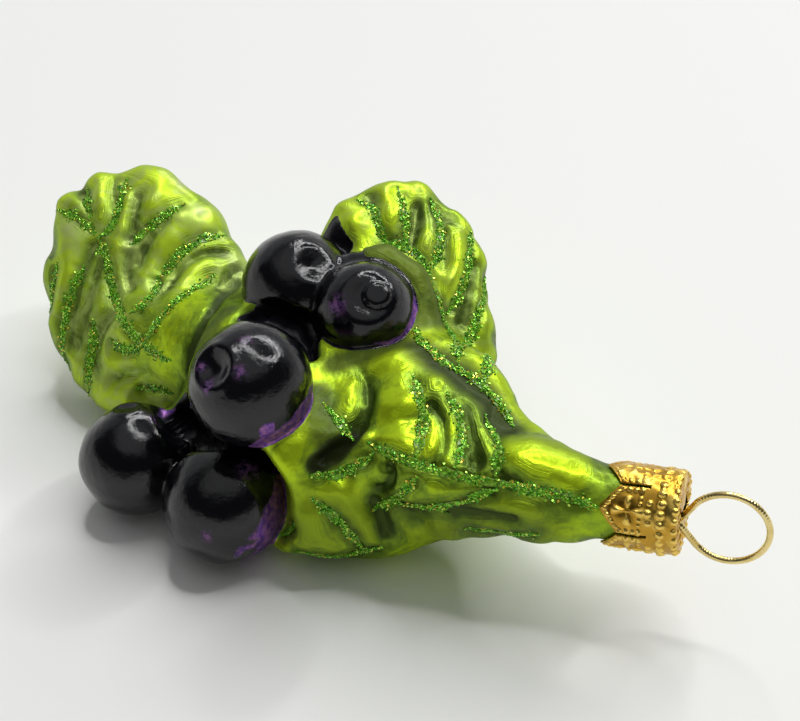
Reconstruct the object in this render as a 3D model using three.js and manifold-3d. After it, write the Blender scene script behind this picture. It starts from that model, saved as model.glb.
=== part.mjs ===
// A mould-blown glass ornament in the form of a blueberry sprig: silvered and lacquered glass, open
// at a short neck, with a stamped metal cap over the neck, a sprung wire hanger through the cap, and
// strokes of glitter glue along the leaf veins. It lies on its back. Millimetres, +Z up, +X towards
// the cap; the origin is in the middle of the bottom of the whole object's box.

import * as THREE from 'three';
import Module from 'manifold-3d';
import { mergeVertices } from 'three/addons/utils/BufferGeometryUtils.js';

// ---------------------------------------------------------------- driving dimensions

const GAP = 0.3; // between pieces that touch on the real object

const GLASS_WALL = 1.1;
const OUTSIDE_CELL = 2.2; // facet size of the glass, outside and inside
const INSIDE_CELL = 3.2;
const BERRY_CREASE = [1.2, 3.2]; // how softly a berry runs into its neighbours, outside and inside

// Each berry: middle and radius. The last two are the ones it lies on at the back.
const BERRIES = [
  [[-10.9, 11.5, 26.5], 8.6],
  [[-0.3, 4.4, 27.2], 7.7],
  [[-16.4, -12.6, 28], 9.0],
  [[-35.4, -8.5, 8.6], 8.6],
  [[-21.0, -17.9, 9.1], 9.1],
  [[-15, 19, 9.2], 9.2],
  [[7, 13, 8.5], 8.5],
];

// Each leaf: a middle, the way to its tip, the way it faces, half its thickness, how softly it runs
// into the body, and its reach from the middle, every 30 degrees round from the tip.
const LEFT_LEAF = {
  middle: [-36, 19.5, 20], tip: [-0.606, 0.704, 0.371], face: [-0.146, -0.556, 0.818],
  half: 5.5, blend: 7,
  reach: [23.3, 20, 18, 18.8, 20.5, 20, 16, 16, 16, 15.6, 18, 21.3],
};
const TOP_LEAF = {
  middle: [9, 15, 27.3], tip: [-0.603, 0.654, 0.457], face: [0.08, -0.52, 0.85],
  half: 5, blend: 2.5,
  reach: [17, 17, 14, 11, 12, 15, 18, 11, 10, 10, 12, 15.5],
};
const FRONT_LEAF = { middle: [8, -22, 20], tip: [-1, 0.2, 0], face: [0, -0.743, 0.669] };

// The neck runs out of the sprig to the cap: points down its middle, and the radius at each.
const NECK = [[[45, -30.5, 20.3], 5.1], [[36, -27.6, 19.1], 5.1], [[30, -25.8, 18.4], 5.7],
  [[24, -23.2, 17.6], 7.2], [[16, -17.5, 16], 10.6]];

const CAP_MIDDLE = [39.1, -28.6, 19.5];
const NECK_AXIS = [0.944, -0.304, 0.123];
const CAP_LENGTH = 10.7;
const CAP_RADIUS = 6.15;
const CAP_SHEET = 0.45;
const FLAPS = 5;
const FLAP_TURN = 150; // degrees round the neck to the middle of the first flap
const FLAP_POINT = 2.4; // length of the pointed end of each flap
const FLAP_SLIT = [0.5, 6.6]; // width of the slit between two flaps, and how far up it runs
const CAP_SLOT = [3.0, 7.0]; // opening in the end face for the wire

const WIRE_RADIUS = 0.48;
const RING_RADIUS = 5.6; // to the middle of the wire
const RING_OUT = 6.4; // middle of the ring, out from the cap's end face
const RING_ASIDE = 2.0; // the ring leans this far towards the front of the slot
const WIRE_CROSSING = 0.55; // the two wires pass each other this far either side of that

// One leg of the wire, from its sprung end inside the neck to the slot: out along the neck, to one
// side, and towards the ring's face. The second leg is its mirror image.
const LEG = [[-12.5, 3.2, 0.2], [-9, 3.0, 0.4], [-5, 2.3, 0.9], [-2.4, 1.2, 1.5],
  [-0.2, -0.1, RING_ASIDE], [1.2, -2.1, RING_ASIDE]];

const GLITTER_RADIUS = 0.5;

// A box round the whole glass with room to spare, in which its skin is looked for.
const SEARCH_LOW = [-62, -42, -4];
const SEARCH_HIGH = [52, 50, 50];

// ---------------------------------------------------------------- the shape of the glass

const toVector = (p) => new THREE.Vector3(...p);

// A leaf's own axes: along to the tip, across, and out of its face.
function leafAxes({ tip, face }) {
  const along = toVector(tip).normalize();
  const out = toVector(face).addScaledVector(along, -toVector(face).dot(along)).normalize();
  return [along, new THREE.Vector3().crossVectors(out, along), out];
}

// Joins two distances with a fillet about as wide as k.
function blended(a, b, k) {
  const h = Math.min(Math.max(0.5 + (0.5 * (b - a)) / k, 0), 1);
  return b * (1 - h) + a * h - k * h * (1 - h);
}

const ball = (p, middle, radius) => p.distanceTo(toVector(middle)) - radius;

function ellipsoid(p, middle, half) {
  const q = p.clone().sub(toVector(middle));
  const scaled = q.clone().divide(toVector(half));
  const k = scaled.length() + 1e-9;
  return (k - 1) / (scaled.divide(toVector(half)).length() / k + 1e-9);
}

// A round-ended taper from one point and radius to the next, along a whole line of them.
function tapers(p, line, k) {
  let distance = Infinity;
  for (let i = 1; i < line.length; i++) {
    const [a, ra] = line[i - 1];
    const [b, rb] = line[i];
    const step = toVector(b).sub(toVector(a));
    const t = THREE.MathUtils.clamp(p.clone().sub(toVector(a)).dot(step) / step.lengthSq(), 0, 1);
    const here = p.distanceTo(toVector(a).addScaledVector(step, t)) - (ra + (rb - ra) * t);
    distance = i === 1 ? here : blended(distance, here, k);
  }
  return distance;
}

// A leaf is a flat cushion: its edge is the reach, smoothed between the given directions.
function cushion(p, leaf) {
  const [along, across, out] = leaf.axes;
  const q = p.clone().sub(toVector(leaf.middle)).addScaledVector(out, leaf.half);
  const [a, b, c] = [q.dot(along), q.dot(across), q.dot(out)];
  const count = leaf.reach.length;
  const turn = ((Math.atan2(b, a) / (2 * Math.PI)) * count + count) % count;
  const low = Math.floor(turn) % count;
  const part = turn - Math.floor(turn);
  const ease = part * part * (3 - 2 * part);
  const reach = leaf.reach[low] * (1 - ease) + leaf.reach[(low + 1) % count] * ease;
  const edge = Math.hypot(a, b) / reach;
  const depth = Math.abs(c) / (leaf.half + 1);
  const k = Math.cbrt(edge ** 3 + depth ** 3) + 1e-9;
  return (k - 1) / (Math.hypot((edge / k) ** 2 / reach, (depth / k) ** 2 / (leaf.half + 1)) + 1e-9);
}

for (const leaf of [LEFT_LEAF, TOP_LEAF, FRONT_LEAF]) leaf.axes = leafAxes(leaf);

const FRONT_RIDGE = [[[30, -26.5, 19.5], 4], [[22, -24.5, 20], 4.5], [[14.5, -23.5, 19.5], 4.5],
  [[7, -22, 20], 4.5], [[1, -19.5, 20], 3.5]];
const LEFT_STALK = [[[-33, 14, 14], 6.5], [[-14, 3, 17], 11]];
const BERRY_WEB = [[[-14, -3, 15], 10], [[-27, -7, 10], 7]];
const COLLAR = [[[-2, 11.2, 30.6], 2.2], [[2.5, 11.6, 29.8], 2.8], [[6, 9.9, 27.8], 3],
  [[7.8, 6.7, 25.6], 3], [[7.5, 2.6, 23.6], 3]]; // folds up round the second berry

// Hollows of the body between and below the upper berries: middle, radius and depth.
const HOLLOWS = [[[-9, -1.5, 29], 6, 3.5], [[1, -8, 29], 5, 2], [[-6, -9, 29], 5, 2.5]];

// A trough that runs down between the top leaf and the front ridge to the neck.
const TROUGH = [[[5, -2.5, 28.6], 0], [[10.8, -7.2, 28.6], 0], [[14.8, -9.6, 27.6], 0],
  [[18, -12, 26.3], 0], [[21, -17, 25], 0]];
const TROUGH_DEPTH = 2.2;
const TROUGH_REACH = 3;

// The leaves and webs stay clear of these balls, in front of the two low front berries.
const CLEARINGS = [[[-21, -22.4, 13.1], 11], [[-35.4, -13, 12.6], 10.2]];

// Distance from a point to the outside of the glass, negative inside it.
function sprig(p, crease = BERRY_CREASE[0]) {
  let d = tapers(p, NECK, 1);
  d = blended(d, ellipsoid(p, [-4, 1, 15], [20.5, 22, 12.6]), 8); // the middle of the sprig
  d = blended(d, tapers(p, LEFT_STALK, 3), 6);
  d = blended(d, tapers(p, BERRY_WEB, 3), 4);
  d = blended(d, ellipsoid(p, [9, -8, 18.5], [12, 12, 10]), 5); // shoulder below the top leaf
  d = blended(d, ellipsoid(p, [-11, -15.5, 15.5], [11, 8, 9]), 5); // between the front berries
  d = blended(d, tapers(p, FRONT_RIDGE, 3), 3);
  d = blended(d, ellipsoid(p, [-3, -16.5, 8.5], [17, 9.5, 8.5]), 5); // the low leaf
  d = blended(d, cushion(p, LEFT_LEAF), LEFT_LEAF.blend);
  d = blended(d, cushion(p, TOP_LEAF), TOP_LEAF.blend);
  d = blended(d, tapers(p, COLLAR, 2), 3);
  d += TROUGH_DEPTH * Math.exp(-((tapers(p, TROUGH, 0.01) / TROUGH_REACH) ** 2));
  for (const [middle, radius] of CLEARINGS) d = -blended(-d, ball(p, middle, radius), 2.5);
  for (const [middle, radius, depth] of HOLLOWS) {
    d += depth * Math.exp(-((p.distanceTo(toVector(middle)) / radius) ** 2));
  }
  for (const [middle, radius] of BERRIES) d = blended(d, ball(p, middle, radius), crease);
  return d;
}

// The way in which a distance grows fastest, by small steps along each axis.
function slope(distance, p) {
  const h = 0.05;
  const step = (x, y, z) => distance(p.clone().add(new THREE.Vector3(x, y, z)));
  return new THREE.Vector3(step(h, 0, 0) - step(-h, 0, 0), step(0, h, 0) - step(0, -h, 0),
    step(0, 0, h) - step(0, 0, -h)).divideScalar(2 * h);
}

const CORNERS = [0, 1, 2, 3, 4, 5, 6, 7].map((n) => [n & 1, (n >> 1) & 1, n >> 2]);

// True if the corners of a cell named by the bits of mask form one group, joined along its edges.
function inOneGroup(mask) {
  let reached = mask & -mask;
  for (let pass = 0; pass < 8; pass++) {
    for (let n = 0; n < 8; n++) {
      const beside = (1 << (n ^ 1)) | (1 << (n ^ 2)) | (1 << (n ^ 4));
      if (mask & (1 << n) && reached & beside) reached |= 1 << n;
    }
  }
  return reached === mask;
}

// Fills the crevices that are too narrow for the grid, so that no cell holds two skins.
function closeCrevices(value, everyCell) {
  let filled = true;
  while (filled) {
    filled = false;
    everyCell((corners) => {
      const mask = corners.reduce((bits, corner, n) => bits | (value[corner] < 0) << n, 0);
      if (inOneGroup(mask) && inOneGroup(255 ^ mask)) return;
      const outside = corners.filter((corner) => value[corner] >= 0);
      const nearest = outside.reduce((a, b) => (value[a] < value[b] ? a : b));
      value[nearest] = -0.01;
      filled = true;
    });
  }
}

// Closed skin round the places where a distance is negative. One vertex goes in each cell of a grid
// that the skin crosses, then moves onto the skin; four such vertices make a face round each grid
// edge that the skin crosses.
function skin(distance, cell) {
  const size = SEARCH_LOW.map((low, axis) => Math.ceil((SEARCH_HIGH[axis] - low) / cell));
  const at = (i, j, k) => new THREE.Vector3(i, j, k).multiplyScalar(cell).add(toVector(SEARCH_LOW));
  const index = (i, j, k) => (i * size[1] + j) * size[2] + k;
  const value = new Float64Array(size[0] * size[1] * size[2]);
  const everyCell = (visit) => {
    for (let i = 0; i < size[0]; i++) {
      for (let j = 0; j < size[1]; j++) {
        for (let k = 0; k < size[2]; k++) visit(i, j, k);
      }
    }
  };
  everyCell((i, j, k) => { value[index(i, j, k)] = distance(at(i, j, k)); });

  const cornersOf = (i, j, k) => CORNERS.map(([x, y, z]) => index(i + x, j + y, k + z));
  const inGrid = (i, j, k) => i + 1 < size[0] && j + 1 < size[1] && k + 1 < size[2];
  closeCrevices(value, (visit) => everyCell((i, j, k) => {
    if (inGrid(i, j, k)) visit(cornersOf(i, j, k));
  }));

  const vertexOf = new Map();
  const vertices = [];
  everyCell((i, j, k) => {
    if (!inGrid(i, j, k)) return;
    const values = cornersOf(i, j, k).map((corner) => value[corner]);
    if (values.every((v) => v < 0) || values.every((v) => v >= 0)) return;
    const sum = new THREE.Vector3();
    let crossings = 0;
    CORNERS.forEach((corner, n) => {
      for (let axis = 0; axis < 3; axis++) {
        const m = n | (1 << axis);
        if (m === n || values[n] < 0 === values[m] < 0) continue;
        const crossing = toVector(corner);
        crossing.setComponent(axis, values[n] / (values[n] - values[m]));
        sum.add(crossing);
        crossings += 1;
      }
    });
    vertexOf.set(index(i, j, k), vertices.length);
    vertices.push(at(i, j, k).addScaledVector(sum, cell / crossings));
  });
  for (const p of vertices) {
    for (let pass = 0; pass < 3; pass++) {
      const way = slope(distance, p);
      const move = THREE.MathUtils.clamp(-distance(p) / (way.lengthSq() + 1e-6), -0.4, 0.4);
      p.addScaledVector(way, move);
    }
  }

  const triangles = [];
  everyCell((i, j, k) => {
    const here = value[index(i, j, k)] < 0;
    for (let axis = 0; axis < 3; axis++) {
      const next = [i, j, k];
      next[axis] += 1;
      if (next[axis] >= size[axis] || here === value[index(...next)] < 0) continue;
      const [b, c] = [(axis + 1) % 3, (axis + 2) % 3];
      const ring = [[1, 1], [0, 1], [0, 0], [1, 0]].map(([stepB, stepC]) => {
        const around = [i, j, k];
        around[b] -= stepB;
        around[c] -= stepC;
        return vertexOf.get(index(...around));
      });
      if (!here) ring.reverse();
      const [p, q, r, s] = ring;
      const split = vertices[p].distanceTo(vertices[r]) < vertices[q].distanceTo(vertices[s]);
      triangles.push(...(split ? [p, q, r, p, r, s] : [p, q, s, q, r, s]));
    }
  });
  const geometry = new THREE.BufferGeometry();
  const numbers = vertices.flatMap((p) => p.toArray());
  geometry.setAttribute('position', new THREE.Float32BufferAttribute(numbers, 3));
  geometry.setIndex(triangles);
  return geometry;
}

// ---------------------------------------------------------------- joining and cutting

const wasm = await Module();
wasm.setup();

function toSolid(geometry) {
  const plain = geometry.clone();
  for (const name of ['normal', 'uv']) plain.deleteAttribute(name);
  const merged = mergeVertices(plain, 1e-4);
  return new wasm.Manifold(new wasm.Mesh({
    numProp: 3,
    vertProperties: Float32Array.from(merged.attributes.position.array),
    triVerts: Uint32Array.from(merged.index.array),
  }));
}

function fromSolid(solid) {
  const mesh = solid.getMesh();
  const geometry = new THREE.BufferGeometry();
  geometry.setAttribute('position', new THREE.Float32BufferAttribute(mesh.vertProperties, 3));
  geometry.setIndex(Array.from(mesh.triVerts));
  return geometry;
}

// ---------------------------------------------------------------- places along the neck

// The cap's own frame: u runs out along the neck from the cap's end face, v lies in the plane of
// the hanging ring, and w is the way the ring faces.
const neckOut = toVector(NECK_AXIS).normalize();
const capEnd = toVector(CAP_MIDDLE).addScaledVector(neckOut, CAP_LENGTH / 2);
const ringFacing = new THREE.Vector3(-0.3, -0.94, 0.14);
ringFacing.addScaledVector(neckOut, -ringFacing.dot(neckOut)).normalize();
const ringSide = new THREE.Vector3().crossVectors(ringFacing, neckOut);
const capFrame = new THREE.Matrix4().makeBasis(neckOut, ringSide, ringFacing).setPosition(capEnd);

// A cylinder along the neck, between two distances out from the cap's end face.
function neckCylinder(radius, from, to, sides) {
  const geometry = new THREE.CylinderGeometry(radius, radius, to - from, sides);
  geometry.rotateZ(-Math.PI / 2).translate((from + to) / 2, 0, 0);
  return geometry.applyMatrix4(capFrame);
}

// ---------------------------------------------------------------- the pieces

function glassBody() {
  const rim = -CAP_SHEET - GAP - 0.2; // the neck stops just short of the cap's end face
  const hollow = toSolid(skin((p) => sprig(p, BERRY_CREASE[1]) + GLASS_WALL, INSIDE_CELL));
  const beyondRim = toSolid(neckCylinder(9, rim, 9, 24));
  const glass = toSolid(skin(sprig, OUTSIDE_CELL));
  return fromSolid(glass.subtract(hollow).subtract(beyondRim));
}

// A cup with a rounded shoulder, cut into pointed flaps at its open end.
function cap() {
  const inner = CAP_RADIUS - CAP_SHEET;
  const shoulder = 1.0;
  const profile = [[-CAP_LENGTH, inner], [-CAP_LENGTH, CAP_RADIUS], [-shoulder, CAP_RADIUS],
    [-shoulder * 0.3, CAP_RADIUS - shoulder * 0.3], [0, CAP_RADIUS - shoulder], [0, 0],
    [-CAP_SHEET, 0], [-CAP_SHEET, inner - shoulder], [-shoulder, inner], [-CAP_LENGTH, inner]];
  const cup = new THREE.LatheGeometry(profile.map(([u, r]) => new THREE.Vector2(r, u)), 44);
  let solid = toSolid(cup);
  const [slit, slitTop] = FLAP_SLIT;
  const notchHalf = (Math.PI * CAP_RADIUS) / FLAPS - 0.35;
  const notch = new THREE.Shape([[-notchHalf, -1], [notchHalf, -1], [notchHalf, 0],
    [slit / 2, FLAP_POINT], [slit / 2, slitTop], [-slit / 2, slitTop], [-slit / 2, FLAP_POINT],
    [-notchHalf, 0]].map(([x, y]) => new THREE.Vector2(x, y)));
  for (let i = 0; i < FLAPS; i++) {
    const cutter = new THREE.ExtrudeGeometry(notch, { depth: 3, bevelEnabled: false });
    cutter.translate(0, -CAP_LENGTH, inner - 1.2);
    cutter.rotateY(THREE.MathUtils.degToRad(FLAP_TURN) + ((i + 0.5) / FLAPS) * 2 * Math.PI);
    solid = solid.subtract(toSolid(cutter));
  }
  const [slotWide, slotLong] = CAP_SLOT;
  const slot = new THREE.BoxGeometry(slotWide, 4, slotLong);
  solid = solid.subtract(toSolid(slot));
  const upright = new THREE.Matrix4().makeBasis(new THREE.Vector3(0, 1, 0),
    new THREE.Vector3(1, 0, 0), new THREE.Vector3(0, 0, -1));
  const geometry = fromSolid(solid).applyMatrix4(upright);
  return geometry.applyMatrix4(capFrame);
}

// One wire: a sprung leg inside the neck, out through the slot, round the ring, back through the
// slot across the first wire, and a second leg.
function hanger() {
  const leg = (side) => LEG.map(([u, v, w], i) => {
    const apart = i < 3 ? 0 : i < 5 ? WIRE_CROSSING : WIRE_CROSSING / 2;
    return [u, v * side, w + apart * side];
  });
  const ring = [];
  for (let degrees = 45; degrees <= 315; degrees += 22.5) {
    const turn = THREE.MathUtils.degToRad(degrees);
    ring.push([RING_OUT - RING_RADIUS * Math.cos(turn), -RING_RADIUS * Math.sin(turn), RING_ASIDE]);
  }
  const points = [...leg(1), ...ring, ...leg(-1).reverse()];
  return tube(points.map(toVector), WIRE_RADIUS, 8, 64).applyMatrix4(capFrame);
}

// A round bar of a few flat sides along a smooth line through the points.
function tube(points, radius, sides, steps) {
  const section = new THREE.Shape();
  for (let i = 0; i < sides; i++) {
    const turn = (i / sides) * 2 * Math.PI;
    const corner = [radius * Math.cos(turn), radius * Math.sin(turn)];
    if (i === 0) section.moveTo(...corner);
    else section.lineTo(...corner);
  }
  const extrudePath = new THREE.CatmullRomCurve3(points, false, 'centripetal');
  return new THREE.ExtrudeGeometry(section, { steps, extrudePath, bevelEnabled: false });
}

// ---------------------------------------------------------------- glitter along the veins

// Each stroke, in its leaf's own plane: where it starts, along and across from the leaf's middle,
// the way it sets off in degrees from the way to the tip, then arcs of a length and a turn.
const STROKES = [
  ['left_leaf_midrib', LEFT_LEAF, [10.7, 1.7], 170, [5.8, -18], [20.3, 54]],
  ['left_leaf_tip_1', LEFT_LEAF, [20.4, 3.6], -152, [7, -22]],
  ['left_leaf_tip_2', LEFT_LEAF, [20.6, -1.4], 153, [4.4, 10]],
  ['left_leaf_tip_3', LEFT_LEAF, [17.1, -7.4], 136, [6.9, -6], [2.7, -43]],
  ['left_leaf_right_1', LEFT_LEAF, [7.5, -11.9], 88, [8.9, 7]],
  ['left_leaf_right_2', LEFT_LEAF, [-0.2, -14.1], 74, [10.5, 36]],
  ['left_leaf_right_3', LEFT_LEAF, [-1.5, -1.9], 148, [6, -66]],
  ['left_leaf_right_4', LEFT_LEAF, [-6.3, -8.8], 102, [13.2, 2]],
  ['left_leaf_left_1', LEFT_LEAF, [12.6, 10.5], 128, [5.6, 0]],
  ['left_leaf_left_2', LEFT_LEAF, [9, 7.1], 116, [13.1, 20], [2.4, 40]],
  ['left_leaf_left_3', LEFT_LEAF, [0, 10.8], 140, [9.6, -14]],
  ['left_leaf_left_4', LEFT_LEAF, [-5.1, 9.6], -174, [4.8, 54]],
  ['left_leaf_left_5', LEFT_LEAF, [-13.7, 10.4], -135, [4.7, -8]],
  ['top_leaf_edge', TOP_LEAF, [-29.1, 8.6], -16, [12.5, 43], [7.5, -52]],
  ['top_leaf_midrib', TOP_LEAF, [-16.6, 8], -40, [8.8, 25], [7.4, -17], [9.2, 80]],
  ['top_leaf_tip_1', TOP_LEAF, [7.6, 2.6], -12, [4.4, -18], [3.2, 61]],
  ['top_leaf_tip_2', TOP_LEAF, [5.6, -0.4], -36, [7.8, 12]],
  ['top_leaf_right_1', TOP_LEAF, [-0.4, -1.6], -60, [10.6, 46]],
  ['top_leaf_right_2', TOP_LEAF, [-7.9, 1.2], -71, [13.4, 38]],
  ['top_leaf_right_3', TOP_LEAF, [-15.3, 5.4], -65, [15.9, 18]],
  ['top_leaf_right_4', TOP_LEAF, [-21.5, 7], -46, [5.4, -6]],
  ['front_leaf_midrib', FRONT_LEAF, [-24.2, 1], -10, [12.2, 10], [19, -16]],
  ['front_leaf_tip', FRONT_LEAF, [7.4, -1], 52, [8, -47]],
  ['front_leaf_upper_1', FRONT_LEAF, [-10.9, -2], -94, [7, 47]],
  ['front_leaf_upper_2', FRONT_LEAF, [-5.4, -2.6], -100, [8.8, 55]],
  ['front_leaf_upper_3', FRONT_LEAF, [0.3, -3], -94, [9.9, 38]],
  ['front_leaf_upper_4', FRONT_LEAF, [14.5, -6.8], 143, [4.2, -5]],
  ['front_leaf_lower_1', FRONT_LEAF, [-10.5, 1.3], 26, [3.6, 12]],
  ['front_leaf_lower_2', FRONT_LEAF, [-6.4, 3.7], 26, [8.8, -29]],
  ['front_leaf_lower_3', FRONT_LEAF, [0.4, 1.5], 60, [7, -31]],
  ['low_leaf_midrib', FRONT_LEAF, [14, 6.6], 146, [8.5, -20]],
  ['low_leaf_edge_1', FRONT_LEAF, [19.8, 12.4], -138, [2.3, 0]],
  ['low_leaf_edge_2', FRONT_LEAF, [16.9, 15.1], 176, [11.4, 30]],
  ['low_leaf_edge_3', FRONT_LEAF, [-7.9, 7.5], 176, [9, 18]],
];

// Points on the arcs, in the leaf's plane.
function strokePoints([a, b], heading, arcs) {
  const points = [[a, b]];
  let turned = THREE.MathUtils.degToRad(heading);
  for (const [length, turn] of arcs) {
    const steps = Math.max(2, Math.round(length / 1.7));
    for (let i = 0; i < steps; i++) {
      turned += THREE.MathUtils.degToRad(turn / steps / 2);
      a += (length / steps) * Math.cos(turned);
      b += (length / steps) * Math.sin(turned);
      points.push([a, b]);
      turned += THREE.MathUtils.degToRad(turn / steps / 2);
    }
  }
  return points;
}

// Brings a point of the leaf's plane down onto the glass, from in front of the leaf.
function ontoGlass(leaf, [a, b], height) {
  const [along, across, out] = leaf.axes;
  const p = toVector(leaf.middle).addScaledVector(along, a).addScaledVector(across, b);
  p.addScaledVector(out, 30);
  for (let step = 0; step < 80; step++) p.addScaledVector(out, -0.7 * (sprig(p) - height));
  return p;
}

function glitterStroke(leaf, start, heading, arcs) {
  const height = GLITTER_RADIUS + GAP + 0.1;
  const flat = strokePoints(start, heading, arcs);
  const points = flat.map((point) => ontoGlass(leaf, point, height));
  return tube(points, GLITTER_RADIUS, 6, flat.length - 1);
}

// ---------------------------------------------------------------- the ornament

const lacquer = new THREE.MeshStandardMaterial({ color: '#8fae2a', roughness: 0.3, metalness: 0.6 });
const gilt = new THREE.MeshStandardMaterial({ color: '#d9a12c', roughness: 0.35, metalness: 1 });
const brass = new THREE.MeshStandardMaterial({ color: '#d8bf72', roughness: 0.25, metalness: 1 });
const glitter = new THREE.MeshStandardMaterial({ color: '#2f8a2b', roughness: 0.5, metalness: 0.4 });

const ornament = new THREE.Group();

function add(name, geometry, material) {
  const mesh = new THREE.Mesh(geometry, material);
  mesh.name = name;
  ornament.add(mesh);
}

add('glass_body', glassBody(), lacquer);
add('cap', cap(), gilt);
add('hanger', hanger(), brass);
for (const [name, leaf, start, heading, ...arcs] of STROKES) {
  add(`glitter_${name}`, glitterStroke(leaf, start, heading, arcs), glitter);
}

const box = new THREE.Box3().setFromObject(ornament);
const bottom = box.getCenter(new THREE.Vector3()).setZ(box.min.z);
ornament.position.copy(bottom).negate();

export default ornament;
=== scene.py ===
"""Looks of a mould-blown glass ornament in the form of a blueberry sprig, laid out as an add-on.

Lengths in the shape functions are millimetres in the maker's axes: the bottom of the ornament is at
height 0 and +X runs towards the cap. Pieces are moved to the frame's own origin and turned into
metres when they become meshes.
"""

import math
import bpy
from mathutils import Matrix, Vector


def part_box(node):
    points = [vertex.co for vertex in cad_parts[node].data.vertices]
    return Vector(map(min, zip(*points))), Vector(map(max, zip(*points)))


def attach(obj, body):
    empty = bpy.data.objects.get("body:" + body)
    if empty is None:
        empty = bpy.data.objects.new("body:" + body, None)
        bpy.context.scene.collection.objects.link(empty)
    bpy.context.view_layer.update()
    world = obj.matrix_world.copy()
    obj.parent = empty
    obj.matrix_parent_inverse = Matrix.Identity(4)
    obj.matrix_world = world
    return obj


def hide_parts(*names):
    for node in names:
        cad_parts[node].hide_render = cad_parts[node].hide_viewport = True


bl_info = {
    "name": "Blown Glass Blueberry Sprig",
    "version": (1, 0, 0),
    "blender": (4, 5, 0),
    "location": "3D View > Sidebar > Sprig",
    "description": "Builds a silvered glass blueberry sprig with its cap, hanger and glitter",
    "category": "Add Mesh",
}

import bpy
import numpy as np
from bpy.props import FloatProperty, FloatVectorProperty, IntProperty, PointerProperty
from mathutils import Vector

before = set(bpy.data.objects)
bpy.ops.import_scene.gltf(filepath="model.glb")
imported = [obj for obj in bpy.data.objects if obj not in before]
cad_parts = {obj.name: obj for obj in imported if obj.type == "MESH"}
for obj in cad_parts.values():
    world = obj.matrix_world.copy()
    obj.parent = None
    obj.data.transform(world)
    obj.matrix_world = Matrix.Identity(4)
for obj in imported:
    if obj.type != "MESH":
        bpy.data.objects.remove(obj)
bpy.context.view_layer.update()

MILLIMETRE = 0.001
CAP_BOX_MIDDLE = (38.976, -28.454, 19.498)  # middle of the cap's box in the maker's axes
FRAME_ORIGIN = np.array(CAP_BOX_MIDDLE) - np.mean(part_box("cap"), axis=0) / MILLIMETRE

# ------------------------------------------------------------------ sizes shared with the solids

def thread(*points):
    """A line of no thickness: each point with a radius of zero."""
    return [(point, 0) for point in points]


BERRIES = [
    ((-10.9, 11.5, 26.5), 8.6),
    ((-0.3, 4.4, 27.2), 7.7),
    ((-16.4, -12.6, 28.0), 9.0),
    ((-35.4, -8.5, 8.6), 8.6),
    ((-21.0, -17.9, 9.1), 9.1),
    ((-15.0, 19.0, 9.2), 9.2),
    ((7.0, 13.0, 8.5), 8.5),
]
BERRY_CREASE = 1.2

LEFT_LEAF = {
    "middle": (-36, 19.5, 20),
    "tip": (-0.606, 0.704, 0.371),
    "face": (-0.146, -0.556, 0.818),
    "half": 5.5,
    "blend": 7,
    "reach": (23.3, 20, 18, 18.8, 20.5, 20, 16, 16, 16, 15.6, 18, 21.3),
}
TOP_LEAF = {
    "middle": (9, 15, 27.3),
    "tip": (-0.603, 0.654, 0.457),
    "face": (0.08, -0.52, 0.85),
    "half": 5,
    "blend": 2.5,
    "reach": (17, 17, 14, 11, 12, 15, 18, 11, 10, 10, 12, 15.5),
}
FRONT_LEAF = {"middle": (8, -22, 20), "tip": (-1, 0.2, 0), "face": (0, -0.743, 0.669)}

NECK = [((45, -30.5, 20.3), 5.1), ((36, -27.6, 19.1), 5.1), ((30, -25.8, 18.4), 5.7),
        ((24, -23.2, 17.6), 7.2), ((16, -17.5, 16), 10.6)]
LEFT_STALK = [((-33, 14, 14), 6.5), ((-14, 3, 17), 11)]
BERRY_WEB = [((-14, -3, 15), 10), ((-27, -7, 10), 7)]
COLLAR = [((-2, 11.2, 30.6), 2.2), ((2.5, 11.6, 29.8), 2.8), ((6, 9.9, 27.8), 3),
          ((7.8, 6.7, 25.6), 3), ((7.5, 2.6, 23.6), 3)]
HOLLOWS = [((-9, -1.5, 29), 6, 3.5), ((1, -8, 29), 5, 2), ((-6, -9, 29), 5, 2.5)]
TROUGH = thread((5, -2.5, 28.6), (10.8, -7.2, 28.6), (14.8, -9.6, 27.6), (18, -12, 26.3), (21, -17, 25))
TROUGH_DEPTH = 2.2
TROUGH_REACH = 3.0
CLEARINGS = [((-21, -22.4, 13.1), 11), ((-35.4, -13, 12.6), 10.2)]
CLEARING_FILLET = 2.5
FRONT_RIDGE = [((30, -26.5, 19.5), 4), ((22, -24.5, 20), 4.5), ((14.5, -23.5, 19.5), 4.5),
               ((7, -22, 20), 4.5), ((1, -19.5, 20), 3.5)]

CAP_MIDDLE = np.array([39.1, -28.6, 19.5])
NECK_AXIS = (0.944, -0.304, 0.123)
RING_FACING = (-0.3, -0.94, 0.14)
CAP_LENGTH = 10.7
CAP_RADIUS = 6.15
CAP_SHEET = 0.45
FLAPS = 5
FLAP_TURN = 60  # degrees round the neck to the first flap, from the ring's side towards its face
FLAP_POINT = 2.4
FLAP_SLIT = (0.5, 6.6)
STAR_DOWN = 7.4
GAP = 0.3
BORE_RADIUS = 4.1
BORE_DEPTH = 14

RING_RADIUS = 5.6
RING_OUT = 6.4
RING_ASIDE = 2.0
WIRE_CROSSING = 0.55
MARK_PITCH = 0.45

STROKE_STEP = 0.35
FLAKE_SPREAD = 0.62  # across a stroke, as a share of its half width
FLAKE_TILT = 0.42  # spread of the flakes' normals
FLAKE_HALF_THICKNESS = 0.025
GLITTER_SEED = 41

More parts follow.
